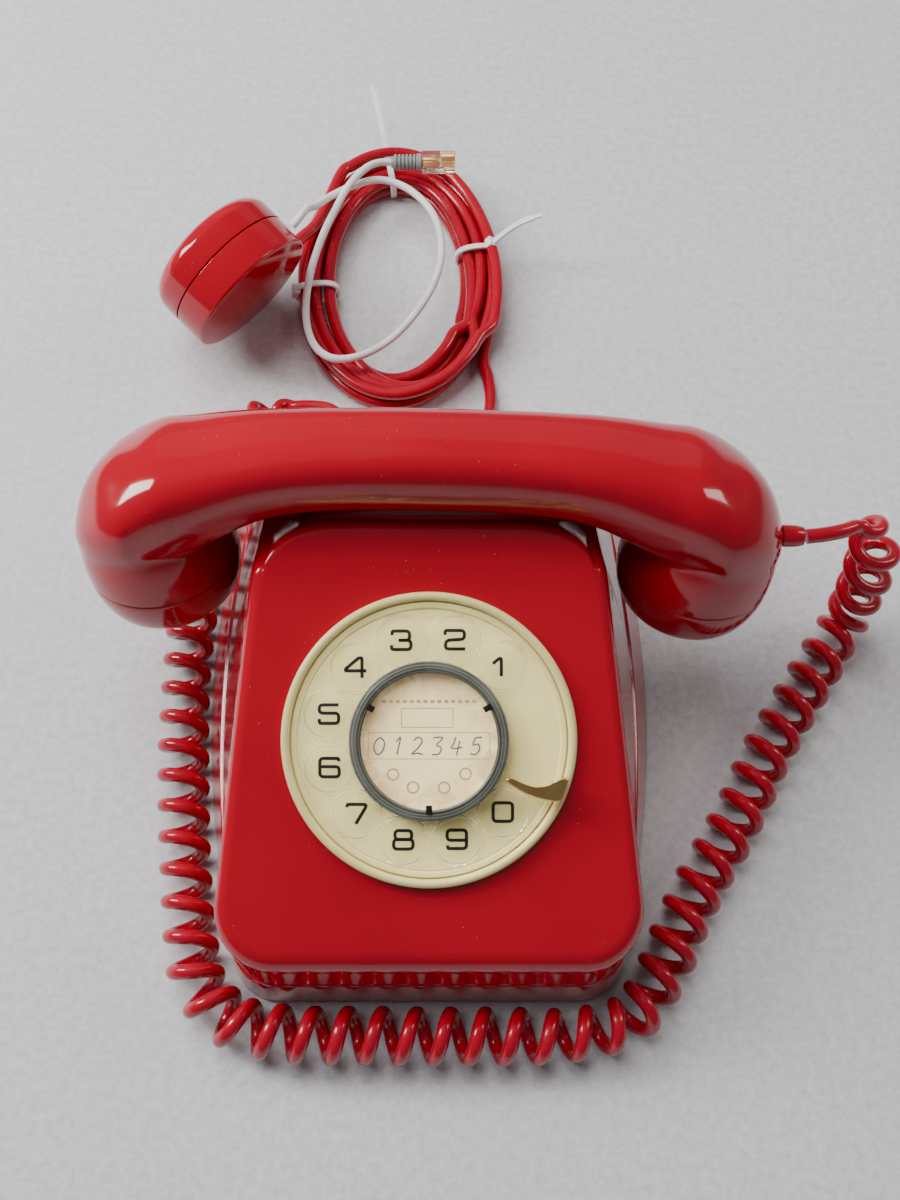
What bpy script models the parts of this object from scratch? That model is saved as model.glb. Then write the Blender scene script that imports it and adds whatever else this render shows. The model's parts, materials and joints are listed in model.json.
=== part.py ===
"""Rotary-dial desk telephone: shell, dial, hook switch, ringer, handset, cords and wall box.

Metres, +Z up. +X is to the right of someone dialling and +Y is away from them. The origin is on the
table under the middle of the telephone. Each object is one piece of the telephone; the empties are
the axes that the moving pieces turn or slide on.
"""

import math

import bmesh
import bpy
from mathutils import Matrix, Vector

MM = 0.001
GAP = 0.3 * MM  # between pieces that touch on the real telephone
RUNNING = 0.3 * MM  # round a pin or a rod that moves in a hole

# ---- shell: a wedge whose face leans back, with a trough across the top for the handle
BODY_FRONT = -100 * MM
BODY_REAR = 100 * MM
BODY_HALF_WIDTH = 76 * MM
BASE_BOW = 1.46  # how fast the sides draw in from their widest place, per metre
WAIST_HALF_WIDTH = 68 * MM
WAIST_BOW = 1.2
WAIST_HEIGHT = 25 * MM
SKIRT_STEP = 0.9 * MM
FACE_HALF_WIDTH = 57.4 * MM
FACE_TAPER = 0.121
FACE_WIDEST_Y = -62 * MM
FACE_FRONT = -91.6 * MM
FACE_REAR = 90 * MM
REAR_FLARE = 0.13
FACE_TILT = math.radians(25)
WALL = 2.5 * MM
RIM_HEIGHT = 2 * MM
TROUGH_Y = 42 * MM
TROUGH_FLOOR = 86.9 * MM
TROUGH_RADIUS_FRONT = 25 * MM
TROUGH_RADIUS_REAR = 12 * MM
LIP_Y = 54 * MM
LIP_HEIGHT = 92 * MM
REAR_SLOPE = 1.255
EDGE_BLEND = 1.1 * MM
CORNER_FACE = 13 * MM
CORNER_BASE = 16 * MM
CORNER_REAR = 20 * MM

# ---- base
BASE_THICK = 2 * MM
BASE_CLEARANCE = 1.2 * MM
# The wall leans in above the rim, so the plate's top edge is where the two come closest.
BASE_LEAN = (BODY_HALF_WIDTH - WAIST_HALF_WIDTH) * (GAP + BASE_THICK) / (WAIST_HEIGHT - RIM_HEIGHT)
BASE_INSET = BASE_CLEARANCE + BASE_LEAN
FOOT_RADIUS = 6.5 * MM
FOOT_PLACES = {"front": (55 * MM, -55 * MM), "rear": (54 * MM, 66 * MM)}
SCREW_PLACES = {"front": (50 * MM, -78 * MM), "rear": (40 * MM, 88 * MM)}
SCREW_RADIUS = 1.5 * MM
SCREW_HEAD_RADIUS = 3.2 * MM
SCREW_LENGTH = 12 * MM
POST_RADIUS = 4 * MM
STUD_RADIUS = 2.6 * MM
STUD_PLACES = ((-36 * MM, -80 * MM), (44 * MM, -66 * MM), (-44 * MM, -16 * MM), (44 * MM, -16 * MM))
BOARD_BOTTOM = 11 * MM
BOARD_THICK = 1.6 * MM

# ---- dial, in its own frame: +Z out of the face, +Y up the slope
DIAL_Y = -35 * MM
DIAL_Z = 68 * MM
DIAL_RADIUS = 43.3 * MM
DIAL_RIM_WIDTH = 2.6 * MM
DIAL_RIM_HEIGHT = 3.0 * MM
DIAL_FLOOR = 1.0 * MM
DIAL_LEDGE = 2.4 * MM  # how far the number plate's rim stands out over its spigot
SPIGOT_RADIUS = DIAL_RADIUS - DIAL_LEDGE
SPIGOT_WALL = 2 * MM
SPIGOT_DEPTH = 7 * MM
DIAL_CLEARANCE = 0.6 * MM  # round the spigot in the face's opening
WHEEL_CLEARANCE = 2.7 * MM  # between the wheel and the plate's rim
WHEEL_RADIUS = DIAL_RADIUS - DIAL_RIM_WIDTH - WHEEL_CLEARANCE
WHEEL_BOTTOM = 2.7 * MM
WHEEL_THICK = 2.4 * MM
HOLE_RADIUS = 6.75 * MM
HOLE_INSET = 7.8 * MM  # from the wheel's edge to the middle of a finger hole
HOLE_PITCH_RADIUS = WHEEL_RADIUS - HOLE_INSET
HOLE_COUNT = 10
HOLE_STEP = math.radians(30)
FIRST_HOLE_ANGLE = math.radians(45.6)
CARD_RADIUS = 19.9 * MM
CARD_THICK = 0.4 * MM
CENTRE_RING_WALL = 0.9 * MM
CENTRE_RING_FLANGE = 3.3 * MM  # how far the ring reaches out from the card's edge
CENTRE_RING_RADIUS = CARD_RADIUS + CENTRE_RING_FLANGE
SHAFT_RADIUS = 4 * MM
SHAFT_DEPTH = 21 * MM
STOP_ANGLE = math.radians(-24)
STOP_TIP_RADIUS = 26 * MM
GEAR_MODULE = 1.0 * MM
MAIN_TEETH = 36
PINION_TEETH = 9
GEAR_TOP = -12 * MM
GEAR_THICK = 3 * MM
GEAR_BACKLASH = 0.12 * MM
GEAR_BORE_CLEARANCE = 0.1 * MM
FRAME_INSET = 0.9 * MM
FRAME_RADIUS = SPIGOT_RADIUS - FRAME_INSET
FRAME_THICK = 1.5 * MM
PINION_ANGLE = math.radians(200)
GOVERNOR_RADIUS = 9 * MM
SPINDLE_RADIUS = 1.2 * MM
DRUM_BOTTOM = -24.5 * MM
DRUM_TOP = -18 * MM

# ---- hook switch
PLUNGER_X = 38 * MM
PLUNGER_Y = 41 * MM
PLUNGER_RADIUS = 3.8 * MM
PLUNGER_TOP = 89.7 * MM
PLUNGER_BOTTOM = 70 * MM
PLUNGER_COLLAR = 1.6 * MM
LEVER_PIVOT_Y = 16 * MM
LEVER_PIVOT_Z = 55 * MM
PIN_RADIUS = 1.5 * MM
BRACKET_HALF_WIDTH = 27 * MM
SHEET = 2 * MM

# ---- ringer
GONG_RADIUS = 24 * MM
GONG_X = 28 * MM
GONG_Y = 61 * MM
GONG_RIM_Z = 10 * MM
GONG_HEIGHT = 11 * MM
GONG_WALL = 1.2 * MM
CLAPPER_PIVOT_Y = 37 * MM
CLAPPER_POST_RADIUS = 1.4 * MM
CLAPPER_RADIUS = 2 * MM
GONG_BOLT_RADIUS = 1.6 * MM

# ---- handset, in its own frame: origin at the middle of the handle, +X along it, +Z up
HANDSET_Y = 38 * MM
HANDSET_Z = 105 * MM
HANDSET_LEAN = math.radians(15)
HANDSET_YAW = math.radians(-1.3)
CUP_SPAN = 59.7 * MM  # half the space between the cups, which straddle the case
CUP_RADIUS = 24.3 * MM
CUP_X = CUP_SPAN + CUP_RADIUS
CUP_SEAM = -41 * MM
CUP_TOE_IN = math.radians(6)
CAP_DEPTH = 18 * MM
CUP_WALL = 3.8 * MM
CUP_BORE = CUP_RADIUS - CUP_WALL
CUP_BORE_DEPTH = 15 * MM
CAPSULE_CLEARANCE = 1.9 * MM
CAPSULE_RADIUS = CUP_BORE - CAPSULE_CLEARANCE
GLAND_RADIUS = 3.3 * MM
GLAND_HEIGHT = -30 * MM

# ---- cords, wall box and plug
CURLY_RADIUS = 9 * MM
CURLY_WIRE_RADIUS = 2.35 * MM
LINE_RADIUS = 2.4 * MM
WHITE_RADIUS = 1.5 * MM
GROMMET_NECK = 4.2 * MM
GROMMET_FLANGE = 6.0 * MM
LINE_EXIT = Vector((20 * MM, BODY_REAR, 12 * MM))
CURLY_EXIT = Vector((-30 * MM, BODY_REAR, 14 * MM))
COIL_CENTRE = Vector((-12.5, 184, 7.8)) * MM
COIL_HALF_WIDTH = 33 * MM
COIL_HALF_LENGTH = 54 * MM
COIL_BUNDLE_RADIUS = 6.2 * MM
TIE_THICK = 0.9 * MM
TIE_WIDTH = 2.4 * MM
BOX_CENTRE = Vector((-77.5, 168, 31.5)) * MM
BOX_AXIS = Vector((-0.70, 0.647, 0.302)).normalized()
BOX_RADIUS = 27.5 * MM
BOX_BASE_THICK = 13 * MM
BOX_COVER_THICK = 15.5 * MM

COLOURS = {
    "red_plastic": ((0.42, 0.006, 0.012), 0.16, 0.0),
    "ivory_plastic": ((0.70, 0.67, 0.46), 0.3, 0.0),
    "clear_plastic": ((0.85, 0.86, 0.80), 0.08, 0.0),
    "grey_ring": ((0.24, 0.25, 0.23), 0.3, 0.4),
    "paper": ((0.80, 0.70, 0.48), 0.8, 0.0),
    "gilt_metal": ((0.62, 0.38, 0.10), 0.25, 1.0),
    "steel": ((0.45, 0.45, 0.44), 0.35, 1.0),
    "brass": ((0.60, 0.45, 0.18), 0.3, 1.0),
    "black_plastic": ((0.03, 0.03, 0.03), 0.4, 0.0),
    "board": ((0.25, 0.17, 0.07), 0.6, 0.0),
    "copper_winding": ((0.40, 0.16, 0.06), 0.4, 0.6),
    "rubber": ((0.02, 0.02, 0.02), 0.8, 0.0),
    "white_pvc": ((0.70, 0.70, 0.68), 0.4, 0.0),
    "grey_rubber": ((0.35, 0.37, 0.37), 0.6, 0.0),
    "nylon": ((0.80, 0.80, 0.78), 0.3, 0.0),
}


# ------------------------------------------------------------------ helpers
def clear_scene():
    for obj in list(bpy.data.objects):
        bpy.data.objects.remove(obj, do_unlink=True)


def material(name):
    found = bpy.data.materials.get(name)
    if found:
        return found
    colour, roughness, metallic = COLOURS[name]
    made = bpy.data.materials.new(name)
    made.use_nodes = True
    shader = made.node_tree.nodes["Principled BSDF"]
    shader.inputs["Base Color"].default_value = (*colour, 1.0)
    shader.inputs["Roughness"].default_value = roughness
    shader.inputs["Metallic"].default_value = metallic
    made.diffuse_color = (*colour, 1.0)
    return made


def piece(name, bm, finish, parent=None, place=None, sharp=40):
    """An object made of this bmesh, smooth except at edges sharper than the angle given."""
    bmesh.ops.remove_doubles(bm, verts=bm.verts, dist=1e-6)
    bmesh.ops.recalc_face_normals(bm, faces=bm.faces)
    mesh = bpy.data.meshes.new(name)
    bm.to_mesh(mesh)
    bm.free()
    mesh.shade_smooth()
    mesh.set_sharp_from_angle(angle=math.radians(sharp))
    obj = bpy.data.objects.new(name, mesh)
    bpy.context.scene.collection.objects.link(obj)
    obj.data.materials.append(material(finish))
    obj.parent = parent
    if place is not None:
        obj.matrix_local = place
    return obj


def hidden(obj):
    obj.hide_render = True
    obj.display_type = "WIRE"
    return obj


def modify(obj, operation, others):
    for other in others:
        modifier = obj.modifiers.new(other.name, "BOOLEAN")
        modifier.operation = operation
        modifier.solver = "EXACT"
        modifier.object = hidden(other)
    return obj


def cut(obj, *cutters):
    return modify(obj, "DIFFERENCE", cutters)


def join(obj, *others):
    return modify(obj, "UNION", others)


def empty(name, place):
    made = bpy.data.objects.new(name, None)
    made.empty_display_size = 0.02
    made.matrix_world = place
    bpy.context.scene.collection.objects.link(made)
    return made


def add_lathe(bm, profile, segments=32):
    """A solid turned about Z from a closed (radius, height) outline; points on the axis are poles."""
    rings = []
    for radius, height in profile:
        if radius < 1e-7:
            rings.append([bm.verts.new((0, 0, height))])
            continue
        angles = (math.tau * i / segments for i in range(segments))
        rings.append([bm.verts.new((radius * math.cos(a), radius * math.sin(a), height)) for a in angles])
    for first, second in zip(rings, rings[1:] + rings[:1]):
        for i in range(segments):
            j = (i + 1) % segments
            corners = [ring[k % len(ring)] for ring, k in ((first, i), (first, j), (second, j), (second, i))]
            corners = list(dict.fromkeys(corners))
            if len(corners) > 2:
                bm.faces.new(corners)
    return bm


def lathe(profile, segments=32):
    return add_lathe(bmesh.new(), profile, segments)


def disc(radius, bottom, top, hole=0.0, segments=32):
    if hole:
        return lathe([(hole, bottom), (radius, bottom), (radius, top), (hole, top)], segments)
    return lathe([(0, bottom), (radius, bottom), (radius, top), (0, top)], segments)


def prism(outline, bottom, top):
    """An upright slab with this outline."""
    bm = bmesh.new()
    low = [bm.verts.new((x, y, bottom)) for x, y in outline]
    high = [bm.verts.new((x, y, top)) for x, y in outline]
    bm.faces.new(low)
    bm.faces.new(high)
    for i in range(len(outline)):
        j = (i + 1) % len(outline)
        bm.faces.new((low[i], low[j], high[j], high[i]))
    return bm


def box(low, high, bevel=0.0):
    bm = bmesh.new()
    bmesh.ops.create_cube(bm, size=1.0)
    low, high = Vector(low), Vector(high)
    size = high - low
    for vert in bm.verts:
        vert.co = (low + high) / 2 + Vector((vert.co.x * size.x, vert.co.y * size.y, vert.co.z * size.z))
    if bevel:
        bmesh.ops.bevel(bm, geom=bm.edges, offset=bevel, segments=1, affect="EDGES")
    return bm


def along(axis, at):
    """The place whose +Z lies along axis and whose origin is at this point."""
    return Matrix.Translation(at) @ Vector(axis).to_track_quat("Z", "Y").to_matrix().to_4x4()


def spline_point(points, t):
    """A point on the smooth curve through the route's points; t counts points."""
    i = min(int(t), len(points) - 2)
    u = t - i
    p1, p2 = points[i], points[i + 1]
    p0 = points[i - 1] if i else p1 + (p1 - p2)
    p3 = points[i + 2] if i + 2 < len(points) else p2 + (p2 - p1)
    square = (2 * p0 - 5 * p1 + 4 * p2 - p3) * u * u
    cube = (3 * p1 - p0 - 3 * p2 + p3) * u**3
    return 0.5 * (2 * p1 + (p2 - p0) * u + square + cube)


def smooth_route(points, spacing):
    """Evenly spaced points on the smooth curve through these."""
    points = [Vector(p) for p in points]
    steps = 40
    fine = [spline_point(points, k / steps) for k in range(steps * (len(points) - 1) + 1)]
    lengths = [0.0]
    for a, b in zip(fine, fine[1:]):
        lengths.append(lengths[-1] + (b - a).length)
    count = max(2, round(lengths[-1] / spacing))
    chosen = []
    k = 0
    for n in range(count + 1):
        target = lengths[-1] * n / count
        while k < len(fine) - 2 and lengths[k + 1] < target:
            k += 1
        share = (target - lengths[k]) / (lengths[k + 1] - lengths[k])
        chosen.append(fine[k].lerp(fine[k + 1], share))
    return chosen


def tube(name, points, radius, finish, resolution=2):
    curve = bpy.data.curves.new(name, "CURVE")
    curve.dimensions = "3D"
    curve.bevel_depth = radius
    curve.bevel_resolution = resolution
    curve.use_fill_caps = True
    spline = curve.splines.new("POLY")
    spline.points.add(len(points) - 1)
    for target, point in zip(spline.points, points):
        target.co = (*point, 1.0)
    obj = bpy.data.objects.new(name, curve)
    bpy.context.scene.collection.objects.link(obj)
    curve.materials.append(material(finish))
    return obj


# ------------------------------------------------------------------ shell
def smooth_least(values, blend):
    return -blend * math.log(sum(math.exp(-v / blend) for v in values))


def face_height(y):
    return DIAL_Z + (y - DIAL_Y) * math.tan(FACE_TILT)


def top_height(y):
    """The height of the shell's top: the leaning face, the trough for the handle, the rear slope."""
    radius = TROUGH_RADIUS_FRONT if y < TROUGH_Y else TROUGH_RADIUS_REAR
    trough = TROUGH_FLOOR + (y - TROUGH_Y) ** 2 / (2 * radius)
    rear = LIP_HEIGHT - REAR_SLOPE * (y - LIP_Y)
    return smooth_least((face_height(y), trough, rear), EDGE_BLEND)


def base_half(y):
    return BODY_HALF_WIDTH - BASE_BOW * (y - 0.010) ** 2


def waist_half(y):
    return WAIST_HALF_WIDTH - WAIST_BOW * (y + 0.003) ** 2


def face_half(y):
    tapered = FACE_HALF_WIDTH - FACE_TAPER * (y - FACE_WIDEST_Y)
    return tapered + (FACE_TAPER + REAR_FLARE) * max(0.0, y - TROUGH_Y)


def outline(front, rear, half, front_corner, rear_corner, height):
    """The right half of one level of the shell, from its front edge round to its rear edge."""
    points = []
    steps = 5
    start = front + front_corner
    centre = half(start) - front_corner
    for i in range(steps + 1):
        a = math.pi / 2 * i / steps
        points.append((centre + front_corner * math.sin(a), start - front_corner * math.cos(a)))
    stations = [-65, -42, -20, 2, 14, 19, 22, 26, 31, 37, 43, 48, 51, 54, 57, 63, 70]
    points += [(half(y * MM), y * MM) for y in stations]
    end = rear - rear_corner
    centre = half(end) - rear_corner
    for i in range(steps + 1):
        a = math.pi / 2 * i / steps
        points.append((centre + rear_corner * math.cos(a), end + rear_corner * math.sin(a)))
    return [Vector((x, y, height(y))) for x, y in points]


def shell_level(grow, drop):
    """A level round the face's edge: so far out of the flat part, and so far below it."""
    return outline(
        FACE_FRONT - grow * 1.15,
        FACE_REAR + grow,
        lambda y: face_half(y) + grow,
        CORNER_FACE + grow,
        CORNER_FACE + grow,
        lambda y: top_height(y) - drop,
    )


def flat_level(half, front, rear, corner, height):
    return outline(front, rear, half, corner, CORNER_REAR, lambda y: height)


def shell_levels():
    """The outside from the face down to the rim, then the inside from the rim up."""
    edge = ((0, 0), (1.7, 0.35), (3.1, 1.3), (3.9, 2.7), (4.2, 4.4))
    outside = [shell_level(grow * MM, drop * MM) for grow, drop in edge]
    front, rear = BODY_FRONT + 1.3 * MM, BODY_REAR - 3 * MM
    for grow, rise in ((-0.1 * MM, 1.1 * MM), (-0.5 * MM, 0.5 * MM)):
        half = lambda y, grow=grow: waist_half(y) + grow
        outside.append(flat_level(half, front, rear, CORNER_FACE + 2 * MM, WAIST_HEIGHT + rise))
    half = lambda y: waist_half(y) + SKIRT_STEP
    outside.append(flat_level(half, front - 0.2 * MM, rear + SKIRT_STEP, CORNER_BASE, WAIST_HEIGHT))
    outside.append(flat_level(base_half, BODY_FRONT, BODY_REAR, CORNER_BASE, RIM_HEIGHT))
    base_inner = lambda y: base_half(y) - WALL
    waist_inner = lambda y: waist_half(y) - WALL
    inside = [
        flat_level(base_inner, BODY_FRONT + WALL, BODY_REAR - WALL, CORNER_BASE, RIM_HEIGHT),
        flat_level(waist_inner, front + WALL, rear - WALL, CORNER_BASE, WAIST_HEIGHT),
        shell_level(4.2 * MM - WALL, 6.5 * MM),
        shell_level(1.5 * MM - WALL, WALL * 1.12 + 0.2 * MM),
    ]
    return outside + inside


def body_shell(dial_place):
    bm = bmesh.new()
    levels = []
    for right in shell_levels():
        left = [Vector((-p.x, p.y, p.z)) for p in reversed(right)]
        levels.append([bm.verts.new(p) for p in right + left])
    count = len(levels[0])
    for upper, lower in zip(levels, levels[1:]):
        for i in range(count):
            j = (i + 1) % count
            bm.faces.new((upper[i], upper[j], lower[j], lower[i]))
    for level in (levels[0], levels[-1]):
        for i in range(count // 2 - 1):
            bm.faces.new((level[i], level[i + 1], level[count - 2 - i], level[count - 1 - i]))
    shell = piece("body_shell", bm, "red_plastic", sharp=35)
    posts = []
    bores = []
    for end, (x, y) in SCREW_PLACES.items():
        for side in (-1, 1):
            place = Matrix.Translation((side * x, y, 0))
            low = RIM_HEIGHT + GAP + BASE_THICK + GAP
            high = min(top_height(y - POST_RADIUS), top_height(y + POST_RADIUS)) - WALL
            post = disc(POST_RADIUS, low, high, segments=12)
            posts.append(piece(f"post_{end}_{side}", post, "red_plastic", place=place))
            bore = disc(SCREW_RADIUS + RUNNING, low - 2 * MM, low + SCREW_LENGTH, segments=12)
            bores.append(piece(f"bore_{end}_{side}", bore, "red_plastic", place=place))
    join(shell, *posts)
    opening = disc(SPIGOT_RADIUS + DIAL_CLEARANCE, -12 * MM, 8 * MM, segments=40)
    cutters = [piece("dial_opening", opening, "red_plastic", place=dial_place)]
    for side in (-1, 1):
        hole = disc(PLUNGER_RADIUS + RUNNING, PLUNGER_BOTTOM + 5 * MM, PLUNGER_TOP + 20 * MM, segments=20)
        place = Matrix.Translation((side * PLUNGER_X, PLUNGER_Y, 0))
        cutters.append(piece(f"plunger_hole_{side}", hole, "red_plastic", place=place))
    for name, at in (("line", LINE_EXIT), ("curly", CURLY_EXIT)):
        hole = disc(GROMMET_NECK + GAP, -12 * MM, 12 * MM, segments=20)
        cutters.append(piece(f"{name}_cord_hole", hole, "red_plastic", place=along((0, 1, 0), at)))
    cut(shell, *cutters, *bores)
    return shell


# ------------------------------------------------------------------ base
def base_and_feet():
    inset = WALL + BASE_INSET
    right = flat_level(lambda y: base_half(y) - inset, BODY_FRONT + inset, BODY_REAR - inset, CORNER_BASE, 0)
    loop = [(p.x, p.y) for p in right] + [(-p.x, p.y) for p in reversed(right)]
    low = RIM_HEIGHT + GAP
    plate = piece("base_plate", prism(loop, low, low + BASE_THICK), "black_plastic")
    studs = []
    for i, (x, y) in enumerate(STUD_PLACES):
        stud = disc(STUD_RADIUS, low + BASE_THICK / 2, BOARD_BOTTOM - GAP, segments=12)
        studs.append(piece(f"board_stud_{i}", stud, "black_plastic", place=Matrix.Translation((x, y, 0))))
    join(plate, *studs)
    holes = []
    for end, (x, y) in SCREW_PLACES.items():
        for side, word in ((-1, "left"), (1, "right")):
            place = Matrix.Translation((side * x, y, 0))
            hole = disc(SCREW_RADIUS + RUNNING, 0, low + BASE_THICK + 4 * MM, segments=12)
            holes.append(piece(f"base_hole_{end}_{word}", hole, "steel", place=place))
            shank_top = low + BASE_THICK + SCREW_LENGTH - 1 * MM
            head_top = low - GAP
            profile = [
                (0, head_top - 1.2 * MM),
                (SCREW_HEAD_RADIUS, head_top - 1.0 * MM),
                (SCREW_HEAD_RADIUS, head_top),
                (SCREW_RADIUS, head_top),
                (SCREW_RADIUS, shank_top),
                (0, shank_top + 1 * MM),
            ]
            piece(f"base_screw_{end}_{word}", lathe(profile, 14), "steel", place=place)
    cut(plate, *holes)
    for end, (x, y) in FOOT_PLACES.items():
        for side, word in ((-1, "left"), (1, "right")):
            r, chamfer = FOOT_RADIUS, 0.8 * MM
            profile = [(0, 0), (r - chamfer, 0), (r, chamfer), (r, RIM_HEIGHT), (0, RIM_HEIGHT)]
            place = Matrix.Translation((side * x, y, 0))
            piece(f"foot_{end}_{word}", lathe(profile, 20), "rubber", place=place)


def grommet(name, at, bore):
    """A flanged sleeve in the rear wall, with its cord's bore through it."""
    inner = bore + GAP
    inside, step, nose = -6 * MM, 2 * GAP, 5 * MM
    profile = [
        (inner, inside),
        (GROMMET_NECK, inside),
        (GROMMET_NECK, step),
        (GROMMET_FLANGE, step),
        (GROMMET_FLANGE, 2.2 * MM),
        (inner + 0.8 * MM, nose),
        (inner, nose),
    ]
    return piece(name, lathe(profile, 16), "red_plastic", place=along((0, 1, 0), at))


# ------------------------------------------------------------------ dial
def number_plate(dial):
    rim = DIAL_RADIUS - DIAL_RIM_WIDTH
    profile = [
        (SHAFT_RADIUS + 2 * MM, DIAL_FLOOR),
        (rim, DIAL_FLOOR),
        (rim, DIAL_RIM_HEIGHT - 0.5 * MM),
        (rim + 0.6 * MM, DIAL_RIM_HEIGHT),
        (DIAL_RADIUS - 0.9 * MM, DIAL_RIM_HEIGHT),
        (DIAL_RADIUS, DIAL_RIM_HEIGHT - 1.0 * MM),
        (DIAL_RADIUS, GAP),
        (SPIGOT_RADIUS, GAP),
        (SPIGOT_RADIUS, -SPIGOT_DEPTH),
        (SPIGOT_RADIUS - SPIGOT_WALL, -SPIGOT_DEPTH),
        (SPIGOT_RADIUS - SPIGOT_WALL, -1 * MM),
        (SHAFT_RADIUS + 2 * MM, -1 * MM),
    ]
    return piece("dial_plate", lathe(profile, 40), "ivory_plastic", dial)


def finger_wheel(dial):
    top = WHEEL_BOTTOM + WHEEL_THICK
    hole = CARD_RADIUS + CENTRE_RING_WALL + 2 * GAP
    chamfer = 0.6 * MM
    profile = [
        (hole, WHEEL_BOTTOM),
        (WHEEL_RADIUS, WHEEL_BOTTOM),
        (WHEEL_RADIUS, top - chamfer),
        (WHEEL_RADIUS - chamfer, top),
        (hole, top),
    ]
    wheel = piece("finger_wheel", lathe(profile, 40), "clear_plastic", dial)
    cutters = []
    for i in range(HOLE_COUNT):
        angle = FIRST_HOLE_ANGLE + i * HOLE_STEP
        at = Matrix.Translation((HOLE_PITCH_RADIUS * math.cos(angle), HOLE_PITCH_RADIUS * math.sin(angle), 0))
        hole = disc(HOLE_RADIUS, 0, top + 4 * MM, segments=16)
        cutters.append(piece(f"finger_hole_{i}", hole, "clear_plastic", dial, at))
    return cut(wheel, *cutters)


def dial_centre(dial):
    """What turns with the wheel: the ring that holds the card, the card, its cover and the shaft."""
    top = WHEEL_BOTTOM + WHEEL_THICK
    inner = CARD_RADIUS + GAP
    cup = inner + CENTRE_RING_WALL
    floor = DIAL_FLOOR + 2 * GAP
    hub = 2.2 * MM
    profile = [
        (hub, floor),
        (cup, floor),
        (cup, top + GAP),
        (CENTRE_RING_RADIUS, top + GAP),
        (CENTRE_RING_RADIUS, top + 1.0 * MM),
        (CENTRE_RING_RADIUS - 0.4 * MM, top + 1.4 * MM),
        (inner, top + 1.4 * MM),
        (inner, floor + 1 * MM),
        (hub, floor + 1 * MM),
    ]
    ring = piece("centre_ring", lathe(profile, 28), "grey_ring", dial)
    card = floor + 1 * MM + GAP
    piece("number_card", disc(CARD_RADIUS, card, card + CARD_THICK, segments=28), "paper", dial)
    cover = card + CARD_THICK + GAP
    crown = top + 1.7 * MM
    r = CARD_RADIUS
    lens = [(0, cover), (r, cover), (r, crown - 0.6 * MM), (r - 1.5 * MM, crown), (0, crown)]
    piece("card_cover", lathe(lens, 28), "clear_plastic", dial)
    low = crown + GAP
    tabs = []
    for i in range(3):
        tab = box((-1.5 * MM, inner - 2.6 * MM, low), (1.5 * MM, inner + 1.2 * MM, low + 0.5 * MM))
        turn = Matrix.Rotation(math.radians(60 + 120 * i), 4, "Z")
        tabs.append(piece(f"clip_tab_{i}", tab, "steel", dial, turn))
        half = 1.2 * MM
        root = box((-half, inner + 0.3 * MM, top + 0.9 * MM), (half, inner + 0.9 * MM, low + 0.3 * MM))
        tabs.append(piece(f"clip_root_{i}", root, "steel", dial, turn))
    join(ring, *tabs)
    shaft_top = floor - GAP
    piece("dial_shaft", disc(SHAFT_RADIUS, -SHAFT_DEPTH, shaft_top, segments=24), "steel", dial)


def gear(teeth, bottom, top, phase=0.0):
    """A spur gear: straight-flanked teeth, a little thin so that the pair runs free."""
    pitch = GEAR_MODULE * teeth / 2
    shape = []
    half = math.pi / teeth / 2
    slack = GEAR_BACKLASH / pitch / 2
    root, tip = pitch - 1.25 * GEAR_MODULE, pitch + 0.9 * GEAR_MODULE
    for i in range(teeth):
        middle = phase + math.tau * i / teeth
        for radius, share in ((root, -1.55), (tip, -0.42), (tip, 0.42), (root, 1.55)):
            angle = middle + half * share - math.copysign(slack, share)
            shape.append((radius * math.cos(angle), radius * math.sin(angle)))
    return prism(shape, bottom, top)


def dial_train(dial, governor):
    """The main gear on the shaft, and the governor's pinion in mesh with it."""
    bottom = GEAR_TOP - GEAR_THICK
    main = piece("main_gear", gear(MAIN_TEETH, bottom, GEAR_TOP, PINION_ANGLE), "brass", dial)
    bore = disc(SHAFT_RADIUS + GEAR_BORE_CLEARANCE, bottom - 1 * MM, GEAR_TOP + 1 * MM, segments=24)
    cut(main, piece("main_gear_bore", bore, "brass", dial))
    phase = PINION_ANGLE + math.pi + math.pi / PINION_TEETH
    teeth = gear(PINION_TEETH, bottom - 0.5 * MM, GEAR_TOP + 0.5 * MM, phase)
    pinion = piece("governor_pinion", teeth, "brass", governor)
    spindle = disc(SPINDLE_RADIUS, DRUM_BOTTOM + 1.5 * MM, GEAR_TOP + 2.4 * MM, segments=12)
    join(pinion, piece("governor_spindle", spindle, "steel", governor))
    reach, low, high = GOVERNOR_RADIUS - 2 * MM, DRUM_BOTTOM + 2.5 * MM, DRUM_TOP - 1 * MM
    bar = box((-reach, -1.6 * MM, low), (reach, 1.6 * MM, high), 0.4 * MM)
    weights = piece("governor_weights", bar, "brass", governor)
    bore = disc(SPINDLE_RADIUS + RUNNING, low - 2 * MM, high + 2 * MM, segments=12)
    cut(weights, piece("weights_bore", bore, "steel", governor))


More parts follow.
